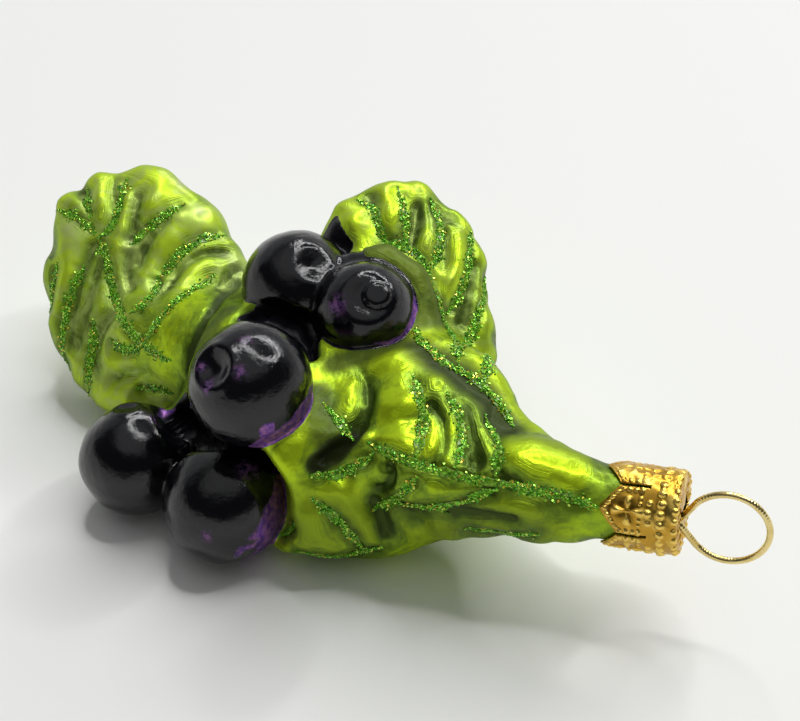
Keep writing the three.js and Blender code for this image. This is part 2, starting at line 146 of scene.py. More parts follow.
# The strokes of glitter on each leaf: name, where it starts along and across from the leaf's middle,
# the way it sets off in degrees from the way to the tip, then arcs of a length and a turn.
STROKES = {
    "left_leaf": (LEFT_LEAF, [
        ("midrib", (10.7, 1.7), 170, (5.8, -18), (20.3, 54)),
        ("tip_1", (20.4, 3.6), -152, (7, -22)),
        ("tip_2", (20.6, -1.4), 153, (4.4, 10)),
        ("tip_3", (17.1, -7.4), 136, (6.9, -6), (2.7, -43)),
        ("right_1", (7.5, -11.9), 88, (8.9, 7)),
        ("right_2", (-0.2, -14.1), 74, (10.5, 36)),
        ("right_3", (-1.5, -1.9), 148, (6, -66)),
        ("right_4", (-6.3, -8.8), 102, (13.2, 2)),
        ("left_1", (12.6, 10.5), 128, (5.6, 0)),
        ("left_2", (9, 7.1), 116, (13.1, 20), (2.4, 40)),
        ("left_3", (0, 10.8), 140, (9.6, -14)),
        ("left_4", (-5.1, 9.6), -174, (4.8, 54)),
        ("left_5", (-13.7, 10.4), -135, (4.7, -8)),
    ]),
    "top_leaf": (TOP_LEAF, [
        ("edge", (-29.1, 8.6), -16, (12.5, 43), (7.5, -52)),
        ("midrib", (-16.6, 8), -40, (8.8, 25), (7.4, -17), (9.2, 80)),
        ("tip_1", (7.6, 2.6), -12, (4.4, -18), (3.2, 61)),
        ("tip_2", (5.6, -0.4), -36, (7.8, 12)),
        ("right_1", (-0.4, -1.6), -60, (10.6, 46)),
        ("right_2", (-7.9, 1.2), -71, (13.4, 38)),
        ("right_3", (-15.3, 5.4), -65, (15.9, 18)),
        ("right_4", (-21.5, 7), -46, (5.4, -6)),
    ]),
    "front_leaf": (FRONT_LEAF, [
        ("midrib", (-24.2, 1), -10, (12.2, 10), (19, -16)),
        ("tip", (7.4, -1), 52, (8, -47)),
        ("upper_1", (-10.9, -2), -94, (7, 47)),
        ("upper_2", (-5.4, -2.6), -100, (8.8, 55)),
        ("upper_3", (0.3, -3), -94, (9.9, 38)),
        ("upper_4", (14.5, -6.8), 143, (4.2, -5)),
        ("lower_1", (-10.5, 1.3), 26, (3.6, 12)),
        ("lower_2", (-6.4, 3.7), 26, (8.8, -29)),
        ("lower_3", (0.4, 1.5), 60, (7, -31)),
    ]),
    "low_leaf": (FRONT_LEAF, [
        ("midrib", (14, 6.6), 146, (8.5, -20)),
        ("edge_1", (19.8, 12.4), -138, (2.3, 0)),
        ("edge_2", (16.9, 15.1), 176, (11.4, 30)),
        ("edge_3", (-7.9, 7.5), 176, (9, 18)),
    ]),
}

# Folds of the mould without glitter in them, for each leaf: start and heading as for the strokes, a
# height, which is negative for a groove, a half width, then arcs.
LEFT_LEAF["folds"] = [
    ((18.6, -5.9), 142, -0.45, 0.8, (4.7, 26)),
    ((13.3, -7.6), 134, -0.6, 0.8, (7.7, 9)),
    ((6.4, -8.8), 97, -0.6, 0.8, (8.1, 25)),
    ((-3.7, -13.4), 48, -0.6, 0.9, (9.3, 69), (6.3, -3)),
    ((-7.3, -13), 108, -0.9, 1.0, (17.5, 27)),
    ((11, 3), 121, -0.5, 0.9, (16.6, 18)),
    ((7.9, 3.6), 126, -0.45, 0.9, (14.4, 4)),
    ((-9.6, 12.4), -118, -0.5, 0.9, (8.9, -16)),
    ((-1.1, 7.5), 92, -0.4, 0.9, (8.8, 65)),
    ((5.8, -0.8), 130, -0.45, 0.9, (5.8, 42)),
    ((13.9, -6.3), 135, 0.45, 1.2, (5.2, 1)),
    ((6.4, -11.1), 107, 0.45, 1.6, (5.4, 4)),
    ((-3.4, -9.8), 66, 0.4, 1.6, (5.2, 52)),
    ((-8.1, -6.3), 119, 0.45, 1.4, (8.1, -2)),
    ((9.4, 8.5), 116, 0.3, 1.2, (5.1, 13)),
]
TOP_LEAF["folds"] = [
    ((9, -5.1), 140, -0.8, 0.8, (6.7, -6)),
    ((3.1, -7.4), 159, 0.4, 1.0, (12.3, -41)),
    ((3, -6.2), 149, -0.3, 0.7, (6.5, -20)),
    ((-4.1, -6.4), 140, -0.6, 1.2, (9.9, -17)),
]
FRONT_LEAF["folds"] = [
    ((10.9, -12.1), 131, -0.8, 1.2, (7.4, -63)),
    ((10, -4.3), 54, -1.3, 0.9, (5.9, -8)),
    ((0.1, -9.5), 153, -0.5, 0.7, (9.1, -93)),
    ((-5.2, -9.4), 113, -0.5, 1.1, (7.4, -1)),
    ((-11.6, -4.6), 155, 0.5, 1.5, (12.9, 21)),
    ((4.1, -0.3), 128, -0.9, 0.7, (4.8, -115)),
    ((12.2, 3), 136, 0.7, 1.2, (10.3, -18)),
    ((6.3, 5.5), 130, -0.8, 1.0, (5.1, -30)),
    ((-5.4, 5.1), -177, -0.6, 0.9, (8.5, -1)),
    ((-3.5, 7.3), -177, 0.3, 1.0, (9.5, 5)),
    ((11.3, -11.8), -136, 0.7, 1.4, (10.1, -33)),
    ((10.6, -3.7), 180, 0.6, 0.9, (9.6, -4)),
]

# Hollows and swellings pressed by the mould, for each leaf: place along and across, half lengths
# along and across, a turn in degrees, and a height.
LEFT_LEAF["swellings"] = [
    ((22.6, 3.4), (2.0, 2.0), 0, 0.9),
    ((21.9, -0.8), (2.2, 1.2), 0, -1.0),
    ((22.2, -4.3), (2.0, 2.0), 0, 0.7),
    ((16.8, 8.8), (3.0, 1.8), -40, -1.0),
    ((18.6, -11.0), (2.4, 2.4), 0, 0.8),
    ((15.4, -13.6), (2.4, 2.0), 0, 0.6),
    ((7.0, -15.4), (1.6, 1.6), 0, -0.5),
    ((17.9, -3.3), (2.6, 1.4), -40, 0.5),
    ((3.0, -12.4), (3.4, 1.5), -20, 0.4),
    ((10.9, -9.0), (2.8, 1.4), -50, 0.4),
    ((-6.2, 0.8), (2.2, 2), 0, -0.6),
    ((-10.5, 9.5), (2.6, 4), 10, 0.5),
]
TOP_LEAF["swellings"] = [
    ((16.4, 3.9), (1.6, 2.0), 0, 0.7),
    ((14.8, -0.5), (1.8, 1.4), 0, -1.0),
    ((14.5, -4.8), (1.6, 1.8), 0, 0.5),
    ((3.9, -8.5), (1.6, 1.4), 0, -0.7),
    ((1.0, -10.6), (2.0, 1.6), 0, 0.8),
    ((-9.3, -5.0), (2.2, 1.4), 0, 0.7),
    ((-15.8, -2.6), (2.2, 2.0), 0, -1.2),
    ((12.1, 4.5), (2.2, 2.6), 0, 0.6),
    ((9.9, -1.1), (1.8, 3.0), 30, 0.6),
    ((3.7, -2.6), (1.6, 3.4), 30, 0.6),
    ((-4.7, 0.5), (2.0, 4.4), 30, 0.6),
]
FRONT_LEAF["swellings"] = [
    ((3.2, -8.8), (2.2, 1.6), 30, 0.9),
    ((2.7, -6.9), (1.6, 1.0), 20, -0.6),
    ((-0.3, -9.3), (1.1, 1.6), 20, -0.5),
    ((-1.5, -4.0), (1.5, 1.8), 10, 0.6),
    ((-3.8, -6.6), (1.1, 2.0), 10, 0.5),
    ((-7.8, -2.9), (1.4, 1.6), 0, -0.7),
    ((-13.2, -1.5), (1.8, 1.2), 0, -0.5),
    ((11.7, 4.4), (3.0, 1.3), 28, 0.5),
    ((0.3, 7.5), (1.4, 1.0), 0, -0.5),
    ((16.0, 8.3), (3.2, 2.2), 20, 0.8),
    ((-13.2, 3.3), (4.2, 1.2), 5, 0.6),
    ((-19.6, 2.9), (2.4, 1.2), 0, -0.4),
    ((-22.3, -3.3), (3.0, 1.4), 0, 0.3),
]

# Calyx of each berry that shows one: berry, the way it points, radius, depth, height of its rim, and
# a power that says how flat its floor is.
CRATERS = [
    (2, (-0.518, -0.412, 0.749), 2.3, 1.3, 0.3, 3),
    (0, (0.342, -0.413, 0.844), 2.2, 0.8, 0.15, 2),
    (1, (0.079, -0.552, 0.830), 2.8, 0.7, 0.1, 4),
    (3, (-0.1, 0.35, 0.93), 1.5, 0.5, 0.2, 4),
    (4, (-0.9, -0.3, -0.2), 1.6, 0.7, 0.25, 4),
    (5, (-0.35, 0.92, 0.2), 1.8, 0.9, 0.3, 4),
    (6, (0.4, 0.88, 0.25), 1.7, 0.8, 0.3, 4),
]
BUTTON = (1, (0.244, -0.473, 0.846), 2.1, 0.75)

# Where the berry paint lies so thin that the silver shines through it in violet: berry, the way it
# lies, radius in millimetres, and strength.
THIN_SPOTS = [
    (2, (-0.727, -0.278, 0.628), 0.6, 0.8),
    (2, (-0.596, -0.616, 0.515), 0.8, 1.0),
    (2, (-0.073, -0.591, 0.804), 0.7, 0.9),
    (2, (0.005, -0.061, 0.998), 0.8, 0.4),
    (1, (-0.53, -0.566, 0.631), 1.2, 0.9),
    (4, (0.45, -0.12, 0.88), 1.3, 0.7),
    (4, (-0.20, -0.95, 0.22), 0.8, 0.6),
    (3, (0.42, 0.10, 0.90), 0.9, 0.3),
]

# Berries whose paint ends in a violet edge: the berry, the way the edge lies, and its width. The
# width elsewhere is negative, so that the paint hides the silver right up to its own edge.
NO_FRINGE = -1.6
FRINGES = [
    (1, (0.75, -0.45, -0.5), 2.7),
    (2, (0.95, -0.3, -0.15), 6.3),
    (4, (0.75, -0.45, -0.5), 5.6),
    (3, (0.2, 0.9, 0.4), 2.0),
]

# Berry paint that has run into the crevices between the upper berries, between the lower ones, and
# beside the top leaf: points and radii.
PAINT_RUNS = [
    [((-18, 2.5, 28), 2.4), ((-13.8, 2, 27.6), 2.6), ((-10.5, 1.5, 26.6), 2.2),
     ((-9, -0.5, 25.8), 1.5), ((-8.4, -3, 25.3), 1.3)],
    [((-31, -4.5, 14.3), 2.2), ((-28, -6.3, 15.6), 3.6), ((-25.4, -9.5, 16.4), 3.6),
     ((-22, -12, 15.5), 3.4), ((-15.5, -14.3, 15.5), 2.4), ((-13.6, -15.2, 15.2), 1.6)],
    [((-5.4, 22.3, 30.9), 1.0), ((-5.8, 19.8, 30), 2.0), ((-5, 17, 30.4), 2.3),
     ((-3.4, 16.9, 30), 1.2)],
]

RUN_DEPTH = 2.0  # how deep the crevices are that it has run into

# Places on the left leaf where the lacquer has hardly taken and the silver looks milky: place along
# and across, half lengths, and strength.
MILKY_SPOTS = [
    ((11.5, -14.2), (2.0, 0.9), 1.0),
    ((4.7, -14.1), (1.6, 1.0), 1.0),
    ((6.8, -1.8), (1.6, 1.0), 0.6),
    ((16.0, 4.6), (2.4, 1.4), 0.8),
    ((-5.8, -13.7), (2.0, 1.4), 0.8),
]

# Where the left leaf folds away from its stalk: a crease, its depth and its half width.
STALK_CREASE = thread((-27.8, 0.7, 18.2), (-27.1, 2.4, 21.2), (-25.9, 4.6, 23.3),
                      (-24, 8.4, 24.5), (-22.3, 15.3, 22.5), (-20.6, 19.2, 21.3))
STALK_CREASE_DEPTH = 1.1
STALK_CREASE_WIDTH = 0.9

# Uneven surfaces as layers of waves: height, length and seed of each.
LEAF_WAVES = [(0.10, 7, 11), (0.03, 3, 13)]
FINE_WAVES = [(0.045, 4, 7), (0.015, 2.2, 31)]
BERRY_WAVES = [(0.08, 7, 17), (0.012, 1.9, 19)]
CAP_DENTS = [(0.07, 4.5, 23), (0.025, 1.4, 29)]

# How far the glass goes on swelling from the closest groove, and the half width of a vein's groove.
SWELL_WIDTH = 2.4
VEIN_WIDTH = 0.8

# Places painted darker and duller as painted shade, in the trough, the creases, round the collar and
# over the neck's top: a line, how far off it the shade ends, and strength.
SHADE_LINES = [
    (TROUGH, 5.0, 1.2),
    (thread((22, -20, 25), (30, -23, 25), (36, -25, 24)), 4.5, 0.6),
    (thread((-7, -25, 13), (5, -27, 13), (14, -29, 16), (23, -30.5, 18.5)), 8, 0.6),
    (COLLAR, 2.4, 1.0),
    (STALK_CREASE, 1.2, 0.9),
    (thread((-26, 1.5, 21.8), (-24, 2.6, 24.2), (-21.6, 6, 25.6)), 2.8, 0.9),
    (thread((-6.9, -11.2, 24.5), (-6.1, -17.1, 24.2), (-4.9, -19.5, 22.6)), 3.8, 1.0),
    (thread((-1.4, -18.1, 23.4), (-4.1, -19.9, 22), (-6.8, -21.7, 20.8)), 2.4, 1.9),
    (thread((-4.6, -5.4, 25.1), (0, -4, 25.8), (5, -3.4, 26.3)), 3.0, 1.0),
]


# ------------------------------------------------------------------ shape functions

def unit(vector):
    """A vector, or each vector of an array, divided by its length."""
    vector = np.asarray(vector, float)
    return vector / np.linalg.norm(vector, axis=-1, keepdims=True)


def ease(x, low, high):
    """0 up to low, 1 from high on, and 3t^2 - 2t^3 between; low may be the larger."""
    t = np.clip((x - low) / (high - low), 0, 1)
    return t * t * (3 - 2 * t)


def leaf_axes(leaf):
    """Rows: along to the tip, across, and out of the leaf's face."""
    along = unit(leaf["tip"])
    face = np.array(leaf["face"], float)
    out = unit(face - (face @ along) * along)
    return np.stack([along, np.cross(out, along), out])


def in_leaf(points, leaf):
    """Points in the leaf's own axes, from its middle."""
    return (points - np.array(leaf["middle"], float)) @ leaf_axes(leaf).T


def blended(a, b, k):
    """The smaller of two distances, with a fillet about as wide as k where they are alike."""
    h = np.clip(0.5 + 0.5 * (b - a) / k, 0, 1)
    return b * (1 - h) + a * h - k * h * (1 - h)


def ball(points, middle, radius):
    """Distance to a sphere."""
    return np.linalg.norm(points - np.array(middle), axis=-1) - radius


def ellipsoid(points, middle, half):
    """Nearly the distance to an ellipsoid: scaled radius less one, over how fast that grows."""
    scaled = (points - np.array(middle)) / np.array(half)
    k = np.linalg.norm(scaled, axis=-1) + 1e-9
    return (k - 1) / (np.linalg.norm(scaled / np.array(half), axis=-1) / k + 1e-9)


def tapers(points, line, k):
    """Distance to round-ended tapers from one point and radius to the next."""
    distance = None
    for (a, radius_a), (b, radius_b) in zip(line, line[1:]):
        step = np.array(b, float) - np.array(a, float)
        t = np.clip(((points - np.array(a)) @ step) / (step @ step), 0, 1)
        middle = np.array(a) + t[..., None] * step
        here = np.linalg.norm(points - middle, axis=-1) - (radius_a + (radius_b - radius_a) * t)
        distance = here if distance is None else blended(distance, here, k)
    return distance


def cushion(points, leaf):
    """Nearly the distance to a flat cushion: its edge is the reach, eased between directions, and
    edge and depth are joined as the cube root of the sum of their cubes."""
    q = in_leaf(points, leaf)
    a, b, c = q[..., 0], q[..., 1], q[..., 2] + leaf["half"]
    reach = np.array(leaf["reach"], float)
    turn = (np.arctan2(b, a) / (2 * np.pi) * len(reach)) % len(reach)
    low = turn.astype(int) % len(reach)
    part = ease(turn - np.floor(turn), 0, 1)
    edge_at = reach[low] * (1 - part) + reach[(low + 1) % len(reach)] * part
    depth_at = leaf["half"] + 1
    edge = np.hypot(a, b) / edge_at
    depth = np.abs(c) / depth_at
    k = np.cbrt(edge ** 3 + depth ** 3) + 1e-9
    return (k - 1) / (np.hypot((edge / k) ** 2 / edge_at, (depth / k) ** 2 / depth_at) + 1e-9)


# The body, from the neck on: the kind of form, its line and the fillet between the line's tapers or
# its middle and half lengths, then the fillet to what stands before it in the list.
BODY = [
    (ellipsoid, (-4, 1, 15), (20.5, 22, 12.6), 8),
    (tapers, LEFT_STALK, 3, 6),
    (tapers, BERRY_WEB, 3, 4),
    (ellipsoid, (9, -8, 18.5), (12, 12, 10), 5),
    (ellipsoid, (-11, -15.5, 15.5), (11, 8, 9), 5),
    (tapers, FRONT_RIDGE, 3, 3),
    (ellipsoid, (-3, -16.5, 8.5), (17, 9.5, 8.5), 5),
]


def greenery(points):
    """Distance to the sprig without its berries: neck, body, stalk, webs, ridges and leaves."""
    d = tapers(points, NECK, 1)
    for form, first, second, fillet in BODY:
        d = blended(d, form(points, first, second), fillet)
    for leaf in (LEFT_LEAF, TOP_LEAF):
        d = blended(d, cushion(points, leaf), leaf["blend"])
    d = blended(d, tapers(points, COLLAR, 2), 3)
    d = d + TROUGH_DEPTH * np.exp(-(tapers(points, TROUGH, 0.01) / TROUGH_REACH) ** 2)
    for middle, radius in CLEARINGS:
        d = -blended(-d, ball(points, middle, radius), CLEARING_FILLET)
    for middle, radius, depth in HOLLOWS:
        squared = ((points - np.array(middle)) ** 2).sum(axis=-1)
        d = d + depth * np.exp(-squared / radius ** 2)
    return d


def sprig(points):
    """Distance to the outside of the glass, negative inside it."""
    d = greenery(points)
    for middle, radius in BERRIES:
        d = blended(d, ball(points, middle, radius), BERRY_CREASE)
    return d


def cap_frame():
    """The cap's origin, in the middle of its end face, and its axes: out along the neck, the side
    of the hanging ring, and the way the ring faces."""
    out = unit(NECK_AXIS)
    facing = np.array(RING_FACING) - (np.array(RING_FACING) @ out) * out
    facing = unit(facing)
    return CAP_MIDDLE + out * CAP_LENGTH / 2, np.stack([out, np.cross(facing, out), facing])


def open_glass(points):
    """Distance to the sprig cut off at the neck's rim, with a round bore some way into the neck."""
    origin, axes = cap_frame()
    q = (points - origin) @ axes.T
    from_axis = np.hypot(q[..., 1], q[..., 2])
    bore = np.maximum(from_axis - BORE_RADIUS, -BORE_DEPTH - q[..., 0])
    rim = q[..., 0] + CAP_SHEET + GAP + 0.2
    return np.maximum(np.maximum(sprig(points), rim), -bore)


def slope(distance, points, step=0.05):
    """How fast a distance grows, from differences at the corners of a small tetrahedron."""
    ways = np.array([(1, -1, -1), (-1, -1, 1), (-1, 1, -1), (1, 1, 1)], float)
    total = sum(way * distance(points + step * way)[..., None] for way in ways)
    return total / (4 * step)


def settled(distance, points, passes=2, limit=0.4):
    """Points moved down a distance's slope until they lie where it is zero."""
    for _ in range(passes):
        way = slope(distance, points)
        move = -distance(points) / ((way * way).sum(-1) + 1e-6)
        points = points + way * np.clip(move, -limit, limit)[..., None]
    return points


# ------------------------------------------------------------------ skin of a distance

CORNERS = [(n & 1, (n >> 1) & 1, n >> 2) for n in range(8)]
COARSE = 4


def at_corner(grid, corner):
    """For every cell of a grid of nodes, the value at one of its corners."""
    return grid[tuple(slice(i, n - 1 + i) for i, n in zip(corner, grid.shape))]


def sampled(distance, low, count, cell):
    """A distance on a grid: worked out at every fourth node, then at all nodes near the skin. The
    others keep the sign of the coarse node beside them."""
    axes = [low[i] + cell * np.arange(count[i]) for i in range(3)]
    nodes = np.stack(np.meshgrid(*[axis[::COARSE] for axis in axes], indexing="ij"), -1)
    value = distance(nodes)
    close = np.abs(value) < 1.3 * COARSE * cell
    cells = np.any([at_corner(close, corner) for corner in CORNERS], axis=0)
    for axis in range(3):
        value = np.repeat(value, COARSE, axis)
        cells = np.repeat(cells, COARSE, axis)
    value = value[tuple(slice(0, n) for n in count)].copy()
    near = np.zeros(count, bool)
    near[tuple(slice(0, n) for n in cells.shape)] = cells
    where = np.argwhere(near)
    value[near] = distance(np.array(low) + cell * where)
    return value


def joined_masks():
    """For each set of corners of a cell, whether both it and the rest hang together on edges."""
    def together(mask):
        reached = mask & -mask
        for _ in range(8):
            for n in range(8):
                beside = (1 << (n ^ 1)) | (1 << (n ^ 2)) | (1 << (n ^ 4))
                if mask & (1 << n) and reached & beside:
                    reached |= 1 << n
        return reached == mask
    return np.array([together(mask) and together(255 ^ mask) for mask in range(256)])


def corner_values(value, cells):
    """Values at the eight corners of each listed cell."""
    return np.stack([value[tuple((cells + np.array(corner)).T)] for corner in CORNERS], -1)


def mixed_cells(value):
    """Cells with corners on both sides of the skin."""
    inside = value < 0
    count = sum(at_corner(inside, corner).astype(np.int8) for corner in CORNERS)
    return np.argwhere((count > 0) & (count < 8))


def single_skinned(value):
    """Fills nodes until the skin crosses each cell in one sheet. Gives the cells that it crosses."""
    single = joined_masks()
    bits = 1 << np.arange(8)
    cells = mixed_cells(value)
    for _ in range(20):
        values = corner_values(value, cells)
        bad = ~single[((values < 0) * bits).sum(-1)]
        if not bad.any():
            break
        closest = np.where(values[bad] < 0, np.inf, values[bad]).argmin(-1)
        filled = cells[bad] + np.array(CORNERS)[closest]
        value[tuple(filled.T)] = -0.01
        cells = mixed_cells(value)
    return cells


def crossing_means(value, cells):
    """For each cell, the mean of the places on its edges where the value goes through zero, each
    found on a straight line between the edge's ends."""
    values = corner_values(value, cells)
    total = np.zeros((len(cells), 3))
    crossings = np.zeros(len(cells))
    for n, corner in enumerate(CORNERS):
        for axis in range(3):
            m = n | (1 << axis)
            if m == n:
                continue
            crossed = (values[:, n] < 0) != (values[:, m] < 0)
            gap = np.where(crossed, values[:, n] - values[:, m], 1)
            place = np.array(corner, float) + np.zeros((len(cells), 3))
            place[:, axis] = values[:, n] / gap
            total += np.where(crossed[:, None], place, 0)
            crossings += crossed
    return total / crossings[:, None]


def surface_net(distance, low, high, cell):
    """Closed skin of quads round the places where a distance is negative: one vertex in each cell
    that the skin crosses, at the mean of its crossings, and one face round each crossed edge."""
    count = [COARSE * math.ceil((b - a) / cell / COARSE) + 1 for a, b in zip(low, high)]
    value = sampled(distance, low, count, cell)
    cells = single_skinned(value)
    points = np.array(low) + cell * (cells + crossing_means(value, cells))
    vertex = np.full([n - 1 for n in value.shape], -1)
    vertex[tuple(cells.T)] = np.arange(len(cells))
    inside = value < 0
    quads = []
    for axis in range(3):
        b, c = (axis + 1) % 3, (axis + 2) % 3
        here = np.moveaxis(inside, axis, 0)
        edges = np.argwhere(np.moveaxis(here[:-1] != here[1:], 0, axis))
        first = inside[tuple(edges.T)]
        ring = []
        for step_b, step_c in ((1, 1), (0, 1), (0, 0), (1, 0)):
            around = edges.copy()
            around[:, b] -= step_b
            around[:, c] -= step_c
            ring.append(vertex[tuple(around.T)])
        ring = np.stack(ring, -1)
        ring[~first] = ring[~first][:, ::-1]
        quads.append(ring)
    return points, np.concatenate(quads)


def relaxed(points, quads, share=0.5):
    """Each point moved part of the way to the mean of its neighbours along the edges."""
    a = quads.ravel()
    b = np.roll(quads, -1, 1).ravel()
    total = np.stack([np.bincount(a, points[b, i], len(points))
                      + np.bincount(b, points[a, i], len(points)) for i in range(3)], -1)
    count = np.bincount(a, minlength=len(points)) + np.bincount(b, minlength=len(points))
    return points + share * (total / count[:, None] - points)


# ------------------------------------------------------------------ relief of the mould

def waves(points, length, seed, count=12):
    """About -1 to 1: a sum of sine waves of one length whose directions and phases are drawn from a
    seeded generator."""
    draw = np.random.default_rng(seed)
    ways = unit(draw.normal(size=(count, 3))) * (2 * np.pi / length)
    ways = ways * draw.uniform(0.7, 1.4, (count, 1))
    phases = draw.uniform(0, 2 * np.pi, count)
    return np.sin(points @ ways.T + phases).sum(-1) / math.sqrt(count)


def layers(points, rows):
    """The sum of several waves, each times its height."""
    return sum(tall * waves(points, length, seed) for tall, length, seed in rows)


def arc_line(start, heading, arcs, step=0.3, beyond=0.0):
    """Points every step along arcs in a plane: the heading turns evenly along each arc, and the
    place is the running sum of its cosine and sine. The line may run on straight at both ends."""
    lengths = np.array([length for length, _ in arcs], float)
    turns = np.radians([turn for _, turn in arcs])
    starts = np.concatenate([[0], np.cumsum(lengths)[:-1]])
    total = lengths.sum()
    along = np.linspace(-beyond, total + beyond, max(4, round((total + 2 * beyond) / step)))
    part = np.clip((along[:, None] - starts) / lengths, 0, 1)
    way = np.radians(heading) + part @ turns
    steps = np.diff(along)
    middle = (way[1:] + way[:-1]) / 2
    a = np.concatenate([[0], np.cumsum(steps * np.cos(middle))])
    b = np.concatenate([[0], np.cumsum(steps * np.sin(middle))])
    a += start[0] - np.interp(0, along, a)
    b += start[1] - np.interp(0, along, b)
    return np.stack([a, b], -1)


def nearest(points, line):
    """Distance of each point of a plane from the closest point of a line, in runs of rows."""
    best = np.empty(len(points))
    for i in range(0, len(points), 8192):
        part = points[i:i + 8192]
        squares = ((part[:, None, :] - line[None]) ** 2).sum(-1)
        best[i:i + 8192] = np.sqrt(squares.min(-1))
    return best


def bump_at(flat, place, half, turn=0):
    """One at a place of a plane, falling off round it as a bell of the given half lengths."""
    angle = math.radians(turn)
    turned = (flat - np.array(place)) @ np.array([[math.cos(angle), -math.sin(angle)],
                                                  [math.sin(angle), math.cos(angle)]])
    return np.exp(-((turned / np.array(half)) ** 2).sum(-1))


def leaf_relief(points, normals, leaf, weight, settings):
    """Height over one leaf: a narrow groove along each vein, a groove or a ridge along each fold, and
    between the grooves the glass swells with the distance from the closest one, up to a limit."""
    height = np.zeros(len(points))
    chosen = weight > 0.01
    flat = in_leaf(points[chosen], leaf)[:, :2]
    veins = [arc_line(start, heading, arcs) for owner, strokes in STROKES.values()
             if owner is leaf for _, start, heading, *arcs in strokes]
    folds = [(arc_line(start, heading, arcs), tall, width)
             for start, heading, tall, width, *arcs in leaf["folds"]]
    grooves = [line for line, tall, _ in folds if tall < 0]
    close = nearest(flat, np.concatenate(veins + grooves))
    part = settings.swell * (1 - np.exp(-(close / SWELL_WIDTH) ** 2)) - 0.4 * settings.swell
    vein = nearest(flat, np.concatenate(veins)) / VEIN_WIDTH
    part -= settings.vein_depth * np.exp(-vein ** 2)
    for line, tall, width in folds:
        part += settings.folds * tall * np.exp(-(nearest(flat, line) / width) ** 2)
    facing = ease(normals[chosen] @ leaf_axes(leaf)[2], -0.5, 0.3)
    for place, half, turn, tall in leaf["swellings"]:
        part += facing * tall * bump_at(flat, place, half, turn)
    height[chosen] = part * weight[chosen]
    return height


def berry_relief(points):
    """Height over the berries: each calyx is a round hollow inside a raised rim, and in one of them
    stands a low domed button. Distances run along the berry from the calyx's middle."""
    height = np.zeros(len(points))
    for berry, way, radius, depth, rim, power in CRATERS:
        s = along_berry(points, berry, way)
        height -= depth * np.exp(-(s / radius) ** power)
        height += rim * np.exp(-((s - 1.45 * radius) / (0.3 * radius)) ** 2)
    berry, way, radius, tall = BUTTON
    s = along_berry(points, berry, way)
    height += tall * np.clip(1.15 - (s / radius) ** 4, 0, 1) ** 0.5
    return height


def along_berry(points, berry, way):
    """Distance over a berry's skin from where it faces the given way; far off other berries."""
    middle, radius = BERRIES[berry]
    arm = points - np.array(middle)
    reach = np.linalg.norm(arm, axis=-1)
    cosine = np.clip(arm @ unit(way) / (reach + 1e-9), -1, 1)
    return radius * np.arccos(cosine) + 20 * np.clip(np.abs(reach - radius) - 2, 0, None)


def paint_edge(points):
    """How far inside the berry paint a point is, in millimetres: the distance to the greenery less
    that to the nearest berry, and more where two berries meet and paint fills the crevice."""
    balls = np.stack([ball(points, middle, radius) for middle, radius in BERRIES], -1)
    balls.sort(-1)
    on_berry = greenery(points) - balls[:, 0] + 4 * ease(balls[:, 1], 4.2, 2.4)
    return np.maximum(on_berry, -run_paint(points))


def run_paint(points):
    """Distance to the nearest run of berry paint."""
    return np.min([tapers(points, run, 1) for run in PAINT_RUNS], axis=0)


def relief(points, normals, settings):
    """Height of the moulded relief above the plain sprig at each point of it."""
    origin, axes = cap_frame()
    from_cap = (points - origin) @ axes[0]
    off_neck = ease(from_cap, -11.5, -16)
    berry = ease(paint_edge(points), -1.2, 0.8)
    left = ease(cushion(points, LEFT_LEAF), 3.5, 0.8)
    top = ease(cushion(points, TOP_LEAF), 2.2, 0.6)
    out = leaf_axes(FRONT_LEAF)[2]
    along = in_leaf(points, FRONT_LEAF)[:, 0]
    front = (1 - left) * (1 - top) * ease(normals @ out, -0.25, 0.3)
    front = front * ease(along, 24, 19)
    height = leaf_relief(points, normals, LEFT_LEAF, left, settings)
    height += leaf_relief(points, normals, TOP_LEAF, top, settings)
    height += leaf_relief(points, normals, FRONT_LEAF, front * off_neck, settings)
    stretch = in_leaf(points, LEFT_LEAF) * np.array([0.55, 1.0, 1.0])
    crumple = 0.20 * waves(points, 13, 3) + 0.14 * np.sqrt(waves(points, 14, 5) ** 2 + 0.05)
    crumple += layers(points, FINE_WAVES)
    crumple += 0.12 * waves(points, 5.5, 47) * ease(from_cap, -28, -16)
    rough = crumple * (1 - left) + layers(stretch, LEAF_WAVES) * left
    height += settings.crumple * rough * (0.7 + 0.3 * off_neck)
    crease = tapers(points, STALK_CREASE, 0.01) / STALK_CREASE_WIDTH
    height -= STALK_CREASE_DEPTH * np.exp(-crease ** 2)
    height = height * (1 - berry) + berry * berry_relief(points)
    height += berry * layers(points, BERRY_WAVES)
    height -= RUN_DEPTH * ease(run_paint(points), 0.8, -1.6) * ease(points[:, 1], 12, 8)
    return height * ease(from_cap, -9.5, -11.5)


# ------------------------------------------------------------------ meshes and materials

def linear(code):
    """An sRGB hex code as linear red, green and blue."""
    parts = [int(code[i:i + 2], 16) / 255 for i in (1, 3, 5)]
    return tuple(c / 12.92 if c <= 0.04045 else ((c + 0.055) / 1.055) ** 2.4 for c in parts)


def add_node(tree, kind, values=None, **settings):
    """Adds a node, sets its own settings, and gives each named socket a value or a link."""
    node = tree.nodes.new(kind)
    for name, value in settings.items():
        setattr(node, name, value)
    for socket, value in (values or {}).items():
        if isinstance(value, bpy.types.NodeSocket):
            tree.links.new(value, node.inputs[socket])
        else:
            node.inputs[socket].default_value = value
    return node


def new_material(name):
    """An empty node material and its node tree."""
    material = bpy.data.materials.new(name)
    material.use_nodes = True
    material.node_tree.nodes.clear()
    return material, material.node_tree


def object_place(tree):
    """The place on the object, in metres."""
    return add_node(tree, "ShaderNodeTexCoord").outputs["Object"]


